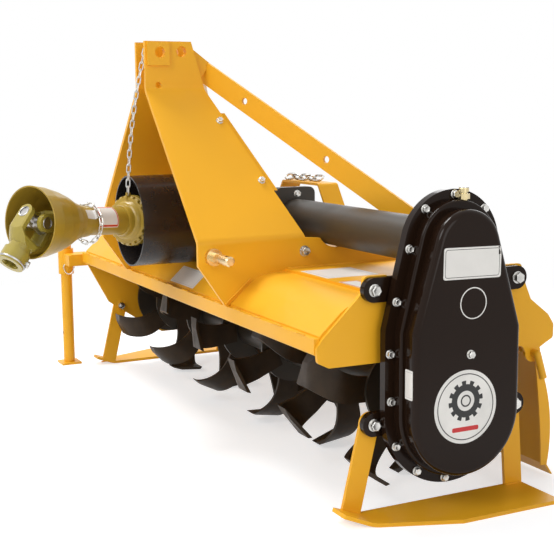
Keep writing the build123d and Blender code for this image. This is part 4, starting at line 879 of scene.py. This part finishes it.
def add_light(name, place, size, power):
    """Add a round white lamp that shines on the middle of the object."""
    lamp = bpy.data.lights.new(name, "AREA")
    lamp.shape = "DISK"
    lamp.size = size
    lamp.energy = power
    holder = bpy.data.objects.new(name, lamp)
    bpy.context.scene.collection.objects.link(holder)
    holder.location = place
    aim = Vector(LAMP_TARGET) - Vector(place)
    holder.rotation_euler = aim.to_track_quat("-Z", "Y").to_euler()


def white_floor():
    """A pale floor that is white to the eye and keeps the shadow; it glows alone far out."""
    shader = Shader("pale floor")
    shader.set(Base_Color=(0.86, 0.86, 0.86, 1), Roughness=0.6, Specular_IOR_Level=0.2)
    distance = shader.vector("LENGTH", shader.place, None)
    far = shader.spread(distance, 0.0, 1.0, FLOOR_NEAR, FLOOR_FAR)
    glow = shader.node("ShaderNodeEmission")
    glow.inputs["Color"].default_value = (1, 1, 1, 1)
    shader.link(shader.spread(distance, 0.58, 1.0, FLOOR_NEAR, FLOOR_FAR), glow.inputs["Strength"])
    matt = shader.node("ShaderNodeBsdfDiffuse")
    shader.link(shader.mix(far, (0.66, 0.66, 0.67), (0, 0, 0)), matt.inputs["Color"])
    both = shader.node("ShaderNodeAddShader")
    shader.link(glow.outputs[0], both.inputs[0])
    shader.link(matt.outputs[0], both.inputs[1])
    chosen = shader.node("ShaderNodeMixShader")
    shader.link(seen_by_eye(shader.tree), chosen.inputs["Fac"])
    shader.link(shader.main.outputs[0], chosen.inputs[1])
    shader.link(both.outputs[0], chosen.inputs[2])
    shader.link(chosen.outputs[0], shader.tree.nodes["Material Output"].inputs["Surface"])
    return shader.material


def studio_world(daylight):
    """Even light from all round that is white to the eye."""
    world = bpy.data.worlds.new("studio")
    world.use_nodes = True
    tree = world.node_tree
    tree.nodes.clear()
    mixer = tree.nodes.new("ShaderNodeMixShader")
    out = tree.nodes.new("ShaderNodeOutputWorld")
    tree.links.new(seen_by_eye(tree), mixer.inputs["Fac"])
    for socket, strength in ((1, daylight), (2, 1.0)):
        ground = tree.nodes.new("ShaderNodeBackground")
        ground.inputs["Color"].default_value = (1, 1, 1, 1)
        ground.inputs["Strength"].default_value = strength
        tree.links.new(ground.outputs["Background"], mixer.inputs[socket])
    tree.links.new(mixer.outputs["Shader"], out.inputs["Surface"])
    return world


class TILLER_OT_stage(bpy.types.Operator):
    """Add the floor, the world, the lamps and the camera"""

    bl_idname = "tiller.stage"
    bl_label = "Set the stage"

    def execute(self, context):
        scene = context.scene
        stage = scene.tiller_stage
        bpy.ops.object.select_all(action="DESELECT")
        bpy.ops.mesh.primitive_plane_add(size=FLOOR_SIZE, location=(0, 0, 0))
        floor = context.object
        floor.name = "floor"
        floor.data.materials.append(white_floor())

        scene.world = studio_world(stage.daylight)
        for name, place, size, power in LAMPS:
            add_light(name, place, size, power)

        eye = bpy.data.cameras.new("camera")
        eye.sensor_width = 36
        eye.lens = stage.lens
        eye.clip_end = 100
        camera = bpy.data.objects.new("camera", eye)
        scene.collection.objects.link(camera)
        turn = look_rotation(*(math.radians(angle) for angle in CAMERA_TURN))
        camera.matrix_world = Matrix.Translation(stage.camera_place) @ turn
        scene.camera = camera
        scene.view_settings.view_transform = "Standard"
        return {"FINISHED"}


class TILLER_PT_panel(bpy.types.Panel):
    bl_idname = "TILLER_PT_panel"
    bl_label = "Tiller"
    bl_space_type = "VIEW_3D"
    bl_region_type = "UI"
    bl_category = "Tiller"

    def draw(self, context):
        scene = context.scene
        for group in (scene.tiller_paint, scene.tiller_hardware, scene.tiller_stage):
            for key in group.bl_rna.properties.keys():
                if key not in ("rna_type", "name"):
                    self.layout.prop(group, key)
        for step in STEPS:
            self.layout.operator(step.bl_idname)


STEPS = (
    TILLER_OT_stage,
    TILLER_OT_finishes,
    TILLER_OT_bolts,
    TILLER_OT_welds,
    TILLER_OT_fittings,
    TILLER_OT_pins,
    TILLER_OT_labels,
)
GROUPS = (TillerPaint, TillerHardware, TillerStage)


def register():
    for item in GROUPS + STEPS + (TILLER_PT_panel,):
        bpy.utils.register_class(item)
    bpy.types.Scene.tiller_paint = bpy.props.PointerProperty(type=TillerPaint)
    bpy.types.Scene.tiller_hardware = bpy.props.PointerProperty(type=TillerHardware)
    bpy.types.Scene.tiller_stage = bpy.props.PointerProperty(type=TillerStage)


def unregister():
    del bpy.types.Scene.tiller_stage
    del bpy.types.Scene.tiller_hardware
    del bpy.types.Scene.tiller_paint
    for item in reversed(GROUPS + STEPS + (TILLER_PT_panel,)):
        bpy.utils.unregister_class(item)


def main():
    register()
    for step in STEPS:
        family, action = step.bl_idname.split(".")
        getattr(getattr(bpy.ops, family), action)()


if __name__ == "__main__":
    main()
